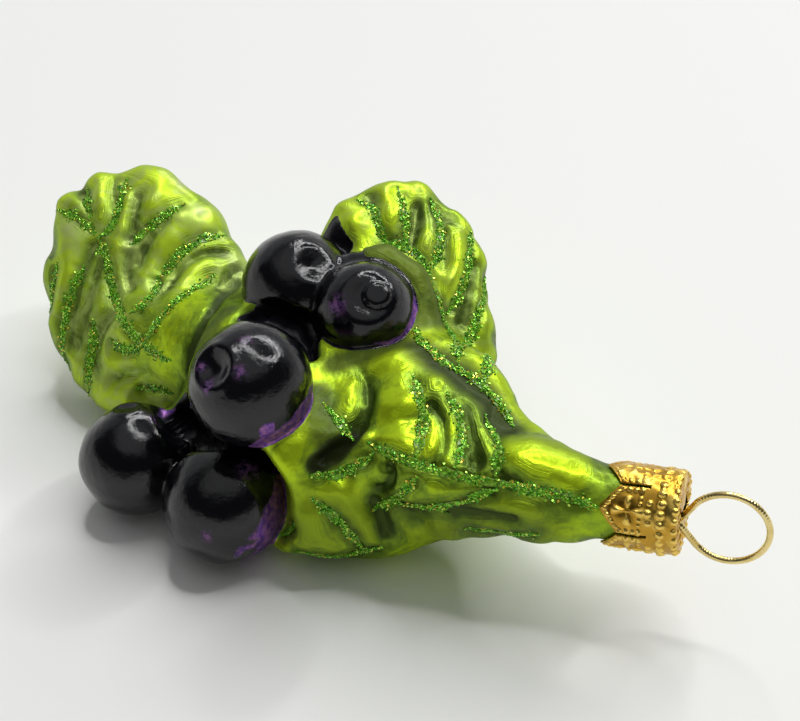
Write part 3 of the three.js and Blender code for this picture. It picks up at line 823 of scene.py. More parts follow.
def finish_material(tree, sockets, height=None, depth=0.0, strength=1.0):
    """Ends a tree in a Principled shader. A height from 0 to 1 is a bump of the given depth in
    millimetres."""
    if height is not None:
        bump = add_node(tree, "ShaderNodeBump", {
            "Strength": strength, "Distance": depth * MILLIMETRE, "Height": height})
        sockets = {**sockets, "Normal": bump.outputs[0]}
    shader = add_node(tree, "ShaderNodeBsdfPrincipled", sockets)
    add_node(tree, "ShaderNodeOutputMaterial", {"Surface": shader.outputs[0]})


def rgba(colour):
    """A colour with full alpha."""
    return (*colour, 1.0)


def math_node(tree, operation, *values, **settings):
    """The result of a Math node."""
    node = add_node(tree, "ShaderNodeMath", dict(enumerate(values)), operation=operation,
                    **settings)
    return node.outputs[0]


def times(tree, first, second, **settings):
    """The product of two values."""
    return math_node(tree, "MULTIPLY", first, second, **settings)


def scaled(tree, value, factor, more, **settings):
    """A value times a factor, and more added."""
    return math_node(tree, "MULTIPLY_ADD", value, factor, more, **settings)


def mix_colour(tree, share, first, second):
    """From the first colour to the second as the share goes from 0 to 1."""
    values = {0: share, 6: first, 7: second}
    return add_node(tree, "ShaderNodeMix", values, data_type="RGBA").outputs[2]


def eased(tree, value, low, high, to_low=0.0, to_high=1.0):
    """The node form of ease, from to_low to to_high."""
    node = add_node(tree, "ShaderNodeMapRange", {
        "Value": value, "From Min": low, "From Max": high, "To Min": to_low, "To Max": to_high,
    }, interpolation_type="SMOOTHSTEP")
    return node.outputs[0]


def attribute(tree, name):
    """A number stored at the mesh's points."""
    return add_node(tree, "ShaderNodeAttribute", attribute_name=name).outputs["Fac"]


def noise(tree, place, size, detail=2.0, rough=0.5, distortion=0.0):
    """Noise whose lumps are about the given size in millimetres."""
    return add_node(tree, "ShaderNodeTexNoise", {
        "Vector": place, "Scale": 1000 / size, "Detail": detail, "Roughness": rough,
        "Distortion": distortion,
    }).outputs["Fac"]


def ramp(tree, value, *stops, interpolation="LINEAR"):
    """A colour for each value, from stops of a place and a colour in rising order."""
    node = add_node(tree, "ShaderNodeValToRGB", {"Fac": value})
    node.color_ramp.interpolation = interpolation
    elements = node.color_ramp.elements
    for element, (position, shade) in zip(elements, (stops[0], stops[-1])):
        element.position = position
        element.color = rgba(shade)
    for position, shade in stops[1:-1]:
        elements.new(position).color = rgba(shade)
    return node.outputs[0]


def new_object(name, data):
    """An object in the scene's own collection."""
    item = bpy.data.objects.new(name, data)
    bpy.context.scene.collection.objects.link(item)
    return item


def make_piece(name, points, faces, material, attributes, smooth=True):
    """A mesh object from points in the maker's millimetres and arrays of faces, with numbers stored
    at its points. Smooth is one flag, or one for each face."""
    mesh = bpy.data.meshes.new(name)
    place = (np.asarray(points) - FRAME_ORIGIN) * MILLIMETRE
    mesh.vertices.add(len(place))
    mesh.vertices.foreach_set("co", place.astype(np.float32).ravel())
    corners = np.concatenate([group.ravel() for group in faces])
    sizes = np.concatenate([np.full(len(group), group.shape[1]) for group in faces])
    mesh.loops.add(len(corners))
    mesh.loops.foreach_set("vertex_index", corners.astype(np.int32))
    mesh.polygons.add(len(sizes))
    starts = np.concatenate([[0], np.cumsum(sizes)[:-1]])
    mesh.polygons.foreach_set("loop_start", starts.astype(np.int32))
    mesh.polygons.foreach_set("use_smooth", smooth & np.ones(len(sizes), bool))
    mesh.update(calc_edges=True)
    for label, values in attributes.items():
        layer = mesh.attributes.new(label, "FLOAT", "POINT")
        layer.data.foreach_set("value", np.asarray(values, np.float32))
    mesh.materials.append(material)
    return new_object(name, mesh)


def dress(piece, slot, *nodes):
    """Ties a piece to the only body and hides the solids it stands for. The slot is not used."""
    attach(piece, "root")
    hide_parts(*nodes)


def lacquered_glass(settings):
    """Mould-blown glass, silvered inside and lacquered outside. The green lacquer is clear over the
    silver, so it looks like coloured metal with a soft, pearly sheen. Its colour is darker in the
    grooves and lighter on the swellings, partly from thicker lacquer and partly as painted shade and
    painted highlight, and it is painted darker and duller still in troughs and creases as painted
    shade. The berries are hand painted in gloss blue-black that hides the silver, except at its thin
    edges, where they turn a bright metallic violet."""
    material, tree = new_material("green lacquer and blue-black paint on silvered glass")
    place = object_place(tree)
    height = attribute(tree, "height")
    satin = attribute(tree, "satin")
    # painted_shade: where the green is painted darker and its silver dulled, as painted shade
    painted_shade = attribute(tree, "painted_shade")
    crevice = attribute(tree, "crevice")

    # where the paint lies, and where it hides the silver
    edge = math_node(tree, "ADD", attribute(tree, "paint"),
                     scaled(tree, noise(tree, place, 1.6, 4), 0.9, -0.45))
    painted = eased(tree, edge, -0.06, 0.06)
    uneven = eased(tree, noise(tree, place, 5, 2), 0.35, 0.65, 0.6, 1.1)
    fringe = times(tree, attribute(tree, "fringe"), uneven)
    hides = eased(tree, math_node(tree, "SUBTRACT", edge, fringe), -0.15, 0.6)
    blotch = noise(tree, place, 0.9, 4, 0.6)
    spot = times(tree, attribute(tree, "thin"), eased(tree, blotch, 0.38, 0.6))
    hides = times(tree, hides, math_node(tree, "SUBTRACT", 1.0, spot))
    black = times(tree, painted, hides)
    green_share = math_node(tree, "SUBTRACT", 1.0, black)

    # how thick the green lies: lumps, smudges, and streaks where it ran along the relief
    tone = scaled(tree, noise(tree, place, 5, 3), 0.6, -0.3)
    calm = scaled(tree, satin, -0.65, 1.0)
    smudges = scaled(tree, noise(tree, place, 1.3, 5, 0.65), 0.7, -0.35)
    tone = math_node(tree, "ADD", tone, times(tree, smudges, calm))
    wander = scaled(tree, noise(tree, place, 7, 2), 5.0, times(tree, height, 7.0))
    flow = add_node(tree, "ShaderNodeTexNoise", {"W": wander, "Scale": 1.0, "Detail": 2.0},
                    noise_dimensions="1D").outputs["Fac"]
    streaks = times(tree, eased(tree, flow, 0.35, 0.65, -1.0, 1.0),
                    eased(tree, noise(tree, place, 3.5, 2), 0.42, 0.62))
    tone = scaled(tree, streaks, 0.13, tone)
    tone = scaled(tree, satin, 0.15, tone)
    # Darker in the grooves and lighter on the swellings: partly the lacquer lying thicker in the
    # grooves, partly painted shade and painted highlight.
    tone = math_node(tree, "ADD", tone, times(tree, height, 0.7))
    green = ramp(tree, math_node(tree, "ADD", tone, 0.5), (0.12, settings.groove_lacquer_and_shade_green),
                 (0.48, settings.lacquer_green), (0.85, settings.ridge_lacquer_and_highlight_green))

    # milky spots, pearly clouds and painted shade, then violet, then black over it
    milky = times(tree, attribute(tree, "milky"), noise(tree, place, 1.5, 3))
    swirl = noise(tree, place, 4, 4, distortion=1.6)
    cloud = times(tree, satin, eased(tree, swirl, 0.4, 0.65, 0.1, 0.7))
    colour = green
    for share, shade in (
            (times(tree, milky, 1.4, use_clamp=True), settings.bare_silver),
            (cloud, settings.pearl_green),
            (times(tree, painted_shade, 0.85, use_clamp=True), settings.painted_shade_green),
            (math_node(tree, "SUBTRACT", painted_shade, 1.0, use_clamp=True), settings.crevice_shade_green)):
        colour = mix_colour(tree, share, colour, rgba(shade))
    violet = mix_colour(tree, eased(tree, blotch, 0.35, 0.7), rgba(settings.violet),
                        rgba(settings.pink_violet))
    colour = mix_colour(tree, painted, colour, violet)
    colour = mix_colour(tree, black, colour, rgba(settings.berry_black))

    green_rough = scaled(tree, satin, 0.05, settings.green_roughness)
    green_rough = scaled(tree, noise(tree, place, 0.5, 3, 0.6), 0.08, green_rough)
    green_rough = scaled(tree, painted_shade, 0.12, green_rough)
    black_rough = eased(tree, noise(tree, place, 2.2, 5, 0.65), 0.42, 0.66, 0.04, 0.16)
    black_rough = scaled(tree, crevice, 0.15, black_rough)
    rough = add_node(tree, "ShaderNodeMix", {0: black, 2: green_rough, 3: black_rough})

    silver = scaled(tree, satin, -0.16, 0.6)
    silver = scaled(tree, painted_shade, -0.28, silver, use_clamp=True)
    # painted shade: the specular tint is dimmed to dark grey in the paint-filled crevices, so their
    # highlights are hidden
    crevice_spec_shade = mix_colour(tree, crevice, (1, 1, 1, 1), (0.1, 0.1, 0.12, 1))
    ripple = times(tree, noise(tree, place, 2.2, 4), green_share)
    ripple = times(tree, times(tree, ripple, 1.5), calm)
    ripple = scaled(tree, streaks, times(tree, green_share, 0.16), ripple)
    wrinkle = times(tree, noise(tree, place, 1.3, 5, 0.6), black)
    finish_material(tree, {
        "Base Color": colour,
        "Metallic": times(tree, green_share, silver),
        "Roughness": rough.outputs[0],
        "Specular Tint": mix_colour(tree, black, rgba(settings.edge_green), crevice_spec_shade),
        "Coat Weight": times(tree, green_share, 0.05),
        "Coat Roughness": 0.2,
    }, scaled(tree, wrinkle, 0.7, ripple), 0.12)
    return material


def gilt_metal(settings):
    """Thin brass sheet stamped with beads and stars and gold-plated: bright on the raised parts, and
    painted a deeper old gold where it is pressed in, as painted shade."""
    material, tree = new_material("stamped gilt brass")
    place = object_place(tree)
    worn = scaled(tree, noise(tree, place, 1.2, 3), 0.3, -0.15)
    # darker towards the pressed-in parts, as painted shade
    raised = math_node(tree, "ADD", worn, eased(tree, attribute(tree, "height"), -0.05, 0.3))
    finish_material(tree, {
        "Base Color": ramp(tree, raised, (0.05, settings.recess_shade_gold), (0.6, settings.gold)),
        "Metallic": 1.0,
        "Roughness": eased(tree, noise(tree, place, 0.8, 3), 0.3, 0.7, 0.24, 0.38),
    }, noise(tree, place, 0.35, 3), 0.04, 0.5)
    return material


def brass_wire(settings):
    """Drawn brass wire, bright and pale, with fine marks round it from the bending mandrel."""
    material, tree = new_material("drawn brass wire")
    place = object_place(tree)
    marks = math_node(tree, "SINE", times(tree, attribute(tree, "along"),
                                          2 * math.pi / MARK_PITCH))
    marks = times(tree, marks, eased(tree, noise(tree, place, 4, 2), 0.45, 0.6))
    handled = eased(tree, noise(tree, place, 2.5, 3), 0.35, 0.65)
    finish_material(tree, {
        "Base Color": mix_colour(tree, handled, rgba(settings.brass), rgba(settings.dull_brass)),
        "Metallic": 1.0,
        "Roughness": eased(tree, noise(tree, place, 1.0, 3), 0.3, 0.7, 0.16, 0.3),
    }, math_node(tree, "ADD", marks, noise(tree, place, 0.3, 3)), 0.03, 0.4)
    return material


def glitter_glue(settings):
    """Clear green glue crowded with hexagonal foil flakes. Each flake is a small flat mirror, so
    the stroke sparkles; a few flakes are gold."""
    material, tree = new_material("green foil glitter in clear glue")
    flake = attribute(tree, "flake")
    foil = ramp(tree, attribute(tree, "tint"), (0.0, settings.flake_dark),
                (0.30, settings.flake_green), (0.78, settings.flake_light),
                (0.94, settings.flake_gold), interpolation="CONSTANT")
    finish_material(tree, {
        "Base Color": mix_colour(tree, flake, rgba(settings.glue), foil),
        "Metallic": times(tree, flake, 0.5),
        "Roughness": scaled(tree, flake, -0.02, 0.24),
        "Coat Weight": 0.12,
        "Coat Roughness": 0.1,
    })
    return material


# ------------------------------------------------------------------ pieces

GLASS_BOX = ((-60, -41, -3), (48, 45, 43))  # holds all of the glass


def finish_marks(points, normals, settings):
    """Numbers at each point for the lacquer and the paint: how far inside the paint it is, the width
    of the violet edge there, thin paint, satin and milky lacquer, painted shade and crevices."""
    closest = np.stack([ball(points, middle, radius) for middle, radius in BERRIES]).argmin(0)
    fringe = np.full(len(points), NO_FRINGE)
    for berry, way, width in FRINGES:
        there = (closest == berry) * ease(normals @ unit(way), 0.05, 0.6)
        fringe += settings.fringe * width * there
    thin = sum(strength * np.exp(-(along_berry(points, berry, way) / radius) ** 2)
               for berry, way, radius, strength in THIN_SPOTS)
    left = cushion(points, LEFT_LEAF)
    satin = np.maximum(ease(left, 5, 1), 0.6 * ease(cushion(points, TOP_LEAF), 2, 0.5))
    flat = in_leaf(points, LEFT_LEAF)[:, :2]
    milky = sum(strength * bump_at(flat, place, half) for place, half, strength in MILKY_SPOTS)
    # painted shade near the lines of SHADE_LINES
    painted_shade = np.max([strength * ease(tapers(points, line, 1), reach, 0.3 * reach)
                     for line, reach, strength in SHADE_LINES], axis=0)
    return {
        "paint": paint_edge(points), "fringe": fringe, "thin": np.clip(thin, 0, 1),
        "satin": satin, "milky": np.clip(milky * ease(left, 4, 1), 0, 1), "painted_shade": painted_shade,
        "crevice": ease(run_paint(points), 1, -1),
    }


def blown_glass(settings):
    """The whole blown body: skin of the sprig, moved out along its normals by the relief."""
    points, quads = surface_net(open_glass, *GLASS_BOX, settings.facet)
    for _ in range(2):
        points = settled(open_glass, relaxed(points, quads), 1)
    points = settled(open_glass, points, 2)
    normals = unit(slope(open_glass, points))
    height = relief(points, normals, settings)
    moved = points + normals * height[:, None]
    moved[:, 2] = np.maximum(moved[:, 2], FRAME_ORIGIN[2])
    marks = finish_marks(points, normals, settings)
    return make_piece("blown_glass", moved, [quads], lacquered_glass(settings),
                      {"height": height, **marks})


def bead(dx, dy, radius, tall):
    """A round boss: tall times the root of one less the squared distance over the radius."""
    return tall * np.sqrt(np.clip(1 - (dx * dx + dy * dy) / radius ** 2, 0, 1))


def from_closest(x, pitch, offset=0.0):
    """How far x is from the closest of places one pitch apart; offset shifts them, in pitches."""
    return x - pitch * (np.round(x / pitch - offset) + offset)


def stamped_pattern(x, q, s):
    """Height stamped into the cap. x runs round from a flap's middle, q down the profile from the
    edge of the end face, and s is x as a share of the flap's half width. Two rows of beads go round
    the shoulder; each flap has an eight-petalled star, a border of beads, and three studs."""
    pitch = 2 * math.pi * CAP_RADIUS / FLAPS / 5
    aside = np.abs(x)
    from_star = q - STAR_DOWN
    down = q - (CAP_LENGTH + 0.5 - FLAP_POINT * np.abs(s))
    petal = np.clip(np.cos(4 * np.arctan2(from_star, x)), 0, 1) ** 1.2
    along = np.clip(1 - np.abs(np.hypot(x, from_star) / 1.15 - 1), 0, 1)
    side_border = (q > 5.4) * (down < -0.9)
    return np.maximum.reduce([
        bead(from_closest(x, pitch, 0.5), q - 0.8, 0.52, 0.34),
        bead(from_closest(x, pitch), q - 2.9, 0.62, 0.42),
        bead(x, q - 4.7, 0.58, 0.36),
        bead(aside - 1.5, q - 4.5, 0.45, 0.26),
        0.42 * petal * along ** 0.7,
        bead(x, from_star, 0.3, 0.2),
        bead(aside - 3.12, from_closest(q, 0.93), 0.38, 0.27) * side_border,
        bead(from_closest(x, 0.85), down + 0.55, 0.36, 0.27) * (np.abs(s) < 0.93),
        bead(from_closest(x, 0.8, 0.5), q - 5.75, 0.3, 0.16) * (aside > 0.7),
    ])


CAP_SHOULDER = 0.95
CAP_COLUMNS = 54  # on each flap
CAP_ROWS = (24, 12, 24, 54)  # on the end face, the shoulder, the side and the flaps
SLOT_HALF = (1.3, 3.5)


def cap_profile(turn, s):
    """The sheet before stamping, a column for each turn round the neck. It runs out over the end
    face from the slot, round the shoulder and down the side; below the slits each flap ends in a
    point. Gives the height along the neck, the distance from it, the way down the profile from the
    edge of the end face, and the sheet's normal along the neck and away from it."""
    face_rows, shoulder_rows, side_rows, flap_rows = CAP_ROWS
    base = CAP_RADIUS - 0.2
    flat = base - CAP_SHOULDER
    wide, tall = SLOT_HALF
    slot_edge = (np.abs(np.cos(turn) / wide) ** 4 + np.abs(np.sin(turn) / tall) ** 4) ** -0.25
    share = np.linspace(0, 1, face_rows)[:, None]
    face = slot_edge * (1 - share) + flat * share
    corner = np.linspace(0, np.pi / 2, shoulder_rows)[1:, None] + 0 * turn
    top = CAP_LENGTH - FLAP_SLIT[1]
    side = np.linspace(-CAP_SHOULDER, -top, side_rows)[1:, None] + 0 * turn
    share = np.linspace(0, 1, flap_rows)[1:, None]
    end = CAP_LENGTH - FLAP_POINT * np.clip((np.abs(s) - 0.06) / 0.94, 0, 1)
    down = np.concatenate([side, -(top + (end - top) * share)])
    return [np.concatenate(rows) for rows in (
        (0 * face, CAP_SHOULDER * (np.cos(corner) - 1), down),
        (face, flat + CAP_SHOULDER * np.sin(corner), base + 0 * down),
        (face - flat, CAP_SHOULDER * corner, CAP_SHOULDER * np.pi / 2 - CAP_SHOULDER - down),
        (0 * face + 1, np.cos(corner), 0 * down),
        (0 * face, np.sin(corner), 0 * down + 1),
    )]


def stamped_cap(settings):
    """The cap's sheet: a grid of turns round the neck by steps down its profile. The stamped pattern
    and shallow dents move the sheet along its normal, and Solidify gives it a wall."""
    half_width = math.pi * CAP_RADIUS / FLAPS - FLAP_SLIT[0] / 2
    s = np.tile(np.linspace(-1, 1, CAP_COLUMNS), FLAPS)
    x = s * half_width
    first = np.radians(FLAP_TURN)
    turn = first + np.repeat(np.arange(FLAPS), CAP_COLUMNS) * 2 * np.pi / FLAPS + x / CAP_RADIUS
    u, r, q, out_u, out_r = cap_profile(turn, s)
    ring = turn / np.radians(30)
    spoke = (ring - np.round(ring)) * np.radians(30)
    on_face = bead(spoke * r, r - 4.25, 0.42, 0.26)
    petal = bead((np.radians(15) - np.abs(spoke)) * r * 1.6, (r - 3.3) * 0.6, 0.34, 0.2)
    height = stamped_pattern(x + 0 * q, q, s + 0 * q)
    height = np.where(q < 0, np.maximum(on_face, petal), height)
    dent = layers(np.stack([np.cos(turn) * r, np.sin(turn) * r, u], -1), CAP_DENTS)
    faint = 1 - 0.65 * ease(np.cos(turn - first + np.radians(72)), 0.75, 0.95)
    lift = height * faint + dent
    tuck = 0.12 * ease(u, -8, -CAP_LENGTH)
    r = r + out_r * lift - tuck
    u = u + out_u * lift
    origin, axes = cap_frame()
    points = origin + np.stack([u, r * np.cos(turn), r * np.sin(turn)], -1) @ axes
    index = np.arange(u.size).reshape(u.shape)
    right = np.roll(index, -1, 1)
    quads = np.stack([index[:-1], index[1:], right[1:], right[:-1]], -1)
    crown = sum(CAP_ROWS[:3]) - 3
    keep = np.ones(quads.shape[:2], bool)
    keep[crown:, CAP_COLUMNS - 1::CAP_COLUMNS] = False
    piece = make_piece("stamped_cap", points.reshape(-1, 3), [quads[keep]], gilt_metal(settings),
                       {"height": lift.ravel()})
    wall = piece.modifiers.new("Sheet", "SOLIDIFY")
    wall.thickness = CAP_SHEET * 0.75 * MILLIMETRE
    wall.offset = -1
    return piece


def smooth_line(knots, per_span):
    """A Catmull-Rom line through the knots, its spans weighted by the root of their lengths."""
    knots = np.asarray(knots, float)
    knots = np.concatenate([[2 * knots[0] - knots[1]], knots, [2 * knots[-1] - knots[-2]]])
    gaps = np.sqrt(np.linalg.norm(np.diff(knots, axis=0), axis=1))
    pieces = []
    for i in range(1, len(knots) - 2):
        p0, p1, p2, p3 = knots[i - 1:i + 3]
        g0, g1, g2 = gaps[i - 1:i + 2]
        tangent_1 = (p1 - p0) / g0 - (p2 - p0) / (g0 + g1) + (p2 - p1) / g1
        tangent_2 = (p2 - p1) / g1 - (p3 - p1) / (g1 + g2) + (p3 - p2) / g2
        t = np.linspace(0, 1, per_span, endpoint=False)[:, None]
        pieces.append((2 * t ** 3 - 3 * t ** 2 + 1) * p1 + (t ** 3 - 2 * t ** 2 + t) * g1 * tangent_1
                      + (3 * t ** 2 - 2 * t ** 3) * p2 + (t ** 3 - t ** 2) * g1 * tangent_2)
    return np.concatenate(pieces + [knots[-2:-1]])


def carried_sections(line, up, across, rise):
    """Sections carried along a line: across and rise are offsets to the side and upwards, one row
    of them for each point of the line."""
    tangent = unit(np.gradient(line, axis=0))
    side = unit(np.cross(up, tangent))
    above = np.cross(tangent, side)
    return line[:, None] + side[:, None] * across[..., None] + above[:, None] * rise[..., None]


def closed_tube(rings):
    """Quads between rings of points, and a fan to the middle of each end."""
    count, around = rings.shape[:2]
    index = np.arange(count * around).reshape(count, around)
    right = np.roll(index, -1, 1)
    quads = np.stack([index[:-1], right[:-1], right[1:], index[1:]], -1).reshape(-1, 4)
    points = np.concatenate([rings.reshape(-1, 3), rings[:1].mean(1), rings[-1:].mean(1)])
    first = np.full(around, count * around)
    fan_a = np.stack([right[0], index[0], first], -1)
    fan_b = np.stack([index[-1], right[-1], first + 1], -1)
    return points, quads, np.concatenate([fan_a, fan_b])


def wire_hanger(settings):
    """One round wire: a sprung leg inside the neck, out through the slot, round the ring, and back
    across itself to a second leg. A circle is carried along the line through its bends."""
    leg = np.array([(-12.5, 3.2, 0.2), (-9, 3, 0.4), (-5, 2.3, 0.9), (-2.4, 1.2, 1.5),
                    (-0.2, -0.1, RING_ASIDE), (1.2, -2.1, RING_ASIDE)])
    aside = WIRE_CROSSING * np.array([0, 0, 0, 1, 1, 0.5])
    apart = aside[:, None] * np.array([0, 0, 1])
    way_out = leg + apart
    way_back = leg * np.array([1, -1, 1]) - apart
    turn = np.radians(np.arange(45, 316, 22.5))
    ring = np.stack([RING_OUT - RING_RADIUS * np.cos(turn), -RING_RADIUS * np.sin(turn),
                     RING_ASIDE + 0 * turn], -1)
    origin, axes = cap_frame()
    line = origin + smooth_line(np.concatenate([way_out, ring, way_back[::-1]]), 12) @ axes
    around = np.linspace(0, 2 * np.pi, 20, endpoint=False)
    run = np.concatenate([[0], np.cumsum(np.linalg.norm(np.diff(line, axis=0), axis=1))])
    radius = settings.wire_radius * np.sqrt(np.clip(np.minimum(run, run[-1] - run) / 0.3, 0.1, 1))
    rings = carried_sections(line, axes[2], radius[:, None] * np.cos(around),
                             radius[:, None] * np.sin(around))
    points, quads, fans = closed_tube(rings)
    along = np.concatenate([np.repeat(run, len(around)), [run[0], run[-1]]])
    return make_piece("wire_hanger", points, [quads, fans], brass_wire(settings),
                      {"along": along})


def onto_glass(flat, leaf):
    """Points of a leaf's plane brought down onto the plain sprig from far in front of the leaf, each
    time by most of the distance that is left."""
    axes = leaf_axes(leaf)
    points = np.array(leaf["middle"], float) + flat @ axes[:2] + 30 * axes[2]
    for _ in range(80):
        points = points - 0.7 * sprig(points)[:, None] * axes[2]
    return points


def on_relief(points, rise, glass):
    """Points near the sprig moved onto its moulded skin and then out by rise, and the normals."""
    points = settled(sprig, points, 2)
    normals = unit(slope(sprig, points))
    height = relief(points, normals, glass)
    return points + normals * (height + rise)[:, None], normals


def glue_bead(line, side, width, tall, glass):
    """A closed low bead along a line: rings of points that are half-ellipses on the glass, and go
    back just under its skin."""
    steps = np.linspace(-1, 1, 9)
    grid = line[:, None] + side[:, None] * (width[:, None] * steps)[..., None]
    rise = (tall[:, None] * np.sqrt(1 - steps ** 2)).ravel()
    under = grid[:, -2:0:-1]
    top, _ = on_relief(grid.reshape(-1, 3), rise, glass)
    low, _ = on_relief(under.reshape(-1, 3), np.full(under[..., 0].size, -0.02), glass)
    return closed_tube(np.concatenate([top.reshape(grid.shape), low.reshape(under.shape)], 1))


def foil_flakes(middle, normal, size, draw):
    """Thin hexagonal plates that lie nearly flat: their points, and faces counted from the first."""
    count = len(middle)
    facing = unit(normal + draw.normal(0, FLAKE_TILT, (count, 3)))
    first = unit(np.cross(facing, draw.normal(size=(count, 3))))
    second = np.cross(facing, first)
    size = size / 2 * draw.uniform(0.75, 1.15, count)
    turn = np.arange(6) * np.pi / 3
    rim = first[:, None] * np.cos(turn)[:, None] + second[:, None] * np.sin(turn)[:, None]
    rim = middle[:, None] + rim * size[:, None, None]
    thick = FLAKE_HALF_THICKNESS * facing[:, None]
    base = 12 * np.arange(count)[:, None]
    corner = base + np.arange(6)
    ahead = base + np.roll(np.arange(6), -1)
    edges = np.stack([corner + 6, ahead + 6, ahead, corner], -1).reshape(-1, 4)
    points = np.concatenate([rim + thick, rim - thick], 1).reshape(-1, 3)
    return points, [corner, corner[:, ::-1] + 6, edges]


def glitter_strokes(leaf_name, settings, glass):
    """All the glitter of one leaf: along each stroke a low bead of glue with a ragged width, and
    hexagonal flakes set in it at seeded places, crowded where a wave along the stroke is high."""
    leaf, strokes = STROKES[leaf_name]
    draw = np.random.default_rng(sorted(STROKES).index(leaf_name) + GLITTER_SEED)
    beads = []
    start_at = 0
    set_in = []
    for _, start, heading, *arcs in strokes:
        line = onto_glass(arc_line(start, heading, arcs, STROKE_STEP, settings.overrun), leaf)
        line = line[np.abs(sprig(line)) < 0.2]
        tangent = unit(np.gradient(line, axis=0))
        side = unit(np.cross(unit(slope(sprig, line)), tangent))
        run = np.arange(len(line)) * STROKE_STEP
        ends = 0.15 + 0.85 * ease(np.minimum(run, run[-1] - run), 0, 2.2)
        ragged = waves(line, 2.4, draw.integers(1000), 6) * 0.3 + 1
        width = settings.stroke_width / 2 * ends * np.clip(ragged, 0.5, 1.5)
        points, quads, fans = glue_bead(line, side, width, settings.glue_height * ends, glass)
        beads.append((points, quads + start_at, fans + start_at))
        start_at += len(points)
        area = len(line) * STROKE_STEP * settings.stroke_width
        count = int(area * settings.flakes_per_area)
        crowd = np.clip(1 + 0.5 * waves(line, 3.5, draw.integers(1000), 6), 0.3, 1.7)
        crowd = np.cumsum(crowd * (0.3 + 0.7 * ends))
        at = np.interp(draw.uniform(crowd[0], crowd[-1], count), crowd, np.arange(len(line)))
        low = np.minimum(at.astype(int), len(line) - 2)
        part = (at - low)[:, None]
        across = np.clip(draw.normal(0, FLAKE_SPREAD, count), -1.7, 1.7)
        middle = line[low] * (1 - part) + line[low + 1] * part
        set_in.append((middle + side[low] * (across * width[low])[:, None], across, ends[low]))
    spots, across, ends = (np.concatenate(rows) for rows in zip(*set_in))
    lift = settings.glue_height * np.sqrt(np.clip(1 - across ** 2, 0, 1)) * ends
    lift = lift + draw.uniform(0.02, 0.12, len(spots))
    middle, normal = on_relief(spots, lift, glass)
    plates, plate_faces = foil_flakes(middle, normal, settings.flake_size, draw)
    points, quads, fans = (np.concatenate(rows) for rows in zip(*beads))
    faces = [quads, fans] + [group + len(points) for group in plate_faces]
    glue = np.zeros(len(points))
    tint = np.concatenate([glue, np.repeat(draw.uniform(0, 1, len(spots)), 12)])
    flake = np.concatenate([glue, np.ones(len(plates))])
    smooth = np.arange(sum(map(len, faces))) < len(quads) + len(fans)
    return make_piece(f"glitter_on_{leaf_name}", np.concatenate([points, plates]), faces,
                      glitter_glue(settings), {"tint": tint, "flake": flake}, smooth)


# ------------------------------------------------------------------ settings

def length(name, text, default):
    """A number setting that isn't negative."""
    return FloatProperty(name=name, description=text, default=default, min=0.0)


def colour(name, text, code):
    """A colour setting, its default given as an sRGB hex code."""
    return FloatVectorProperty(name=name, description=text, default=linear(code), size=3,
                               min=0.0, max=1.0, subtype="COLOR")


class SprigGlassSettings(bpy.types.PropertyGroup):
    facet: length("Facet", "Size of the glass mesh's faces in millimetres", 0.5)
    vein_depth: length("Vein depth", "Depth of the veins in millimetres", 0.3)
    swell: length("Swell", "How far the leaf swells between veins, in millimetres", 0.7)
    folds: length("Folds", "Strength of the folds between the veins", 1.0)
    crumple: length("Crumple", "Strength of the uneven surface of the leaves", 1.0)
    fringe: length("Fringe", "Share of each berry's violet edge that shows", 1.0)
    green_roughness: length("Green roughness", "Roughness of the green lacquer", 0.27)
    lacquer_green: colour("Lacquer green", "Green lacquer over silver", "#88a82e")
    # Ridge and groove greens: thin and thick lacquer, and also painted highlight on the ridges and
    # painted shade in the grooves.
    ridge_lacquer_and_highlight_green: colour("Ridge green", "Green where the lacquer is thin", "#c0e026")
    groove_lacquer_and_shade_green: colour("Valley green", "Green where the lacquer is thick", "#465a1e")
    edge_green: colour("Edge green", "Green seen at a slant through more lacquer", "#2f3c2a")
    pearl_green: colour("Pearl green", "Clouded lacquer on the left leaf", "#b6cd6c")
    # painted shade: dull dark green for the places of SHADE_LINES
    painted_shade_green: colour("Dull green", "Green where the lacquer has pooled", "#3f4c24")
    # painted shade: near-black green where the painted shade is strongest, in the trough and the
    # deepest crease
    crevice_shade_green: colour("Crevice green", "Green at the bottom of deep folds", "#181c0a")
    bare_silver: colour("Bare silver", "Silver under hardly any lacquer", "#c9cda4")
    berry_black: colour("Berry black", "Blue-black berry paint", "#08080c")
    violet: colour("Violet", "Thin berry paint over silver", "#643f9c")
    pink_violet: colour("Pink violet", "Thinnest berry paint over silver", "#a874a8")


class SprigCapSettings(bpy.types.PropertyGroup):
    gold: colour("Gold", "Gilt metal where it stands out", "#f2ce66")
    # painted shade: deeper gold for the pressed-in parts of the cap
    recess_shade_gold: colour("Recess gold", "Gilt metal where it is pressed in", "#c69a38")


class SprigHangerSettings(bpy.types.PropertyGroup):
    wire_radius: length("Wire radius", "Radius of the wire in millimetres", 0.48)
    brass: colour("Brass", "Bright drawn brass", "#f0dc9a")
    dull_brass: colour("Dull brass", "Handled brass", "#dcc278")


class SprigGlitterSettings(bpy.types.PropertyGroup):
    stroke_width: length("Stroke width", "Width of a stroke in millimetres", 1.3)
    glue_height: length("Glue height", "Height of the glue in millimetres", 0.12)
    flake_size: length("Flake size", "Width of a flake in millimetres", 0.36)
    flakes_per_area: length("Flakes per area", "Flakes in a square millimetre", 20.0)
    overrun: length("Overrun", "How far a stroke runs on at its ends, in millimetres", 1.2)
    glue: colour("Glue", "Clear green glue", "#7aa428")
    flake_dark: colour("Dark flakes", "Foil in shade", "#4a941c")
    flake_green: colour("Green flakes", "Most of the foil", "#86d230")
    flake_light: colour("Light flakes", "Pale green foil", "#ccf05e")
    flake_gold: colour("Gold flakes", "A few gold flakes", "#ecd048")


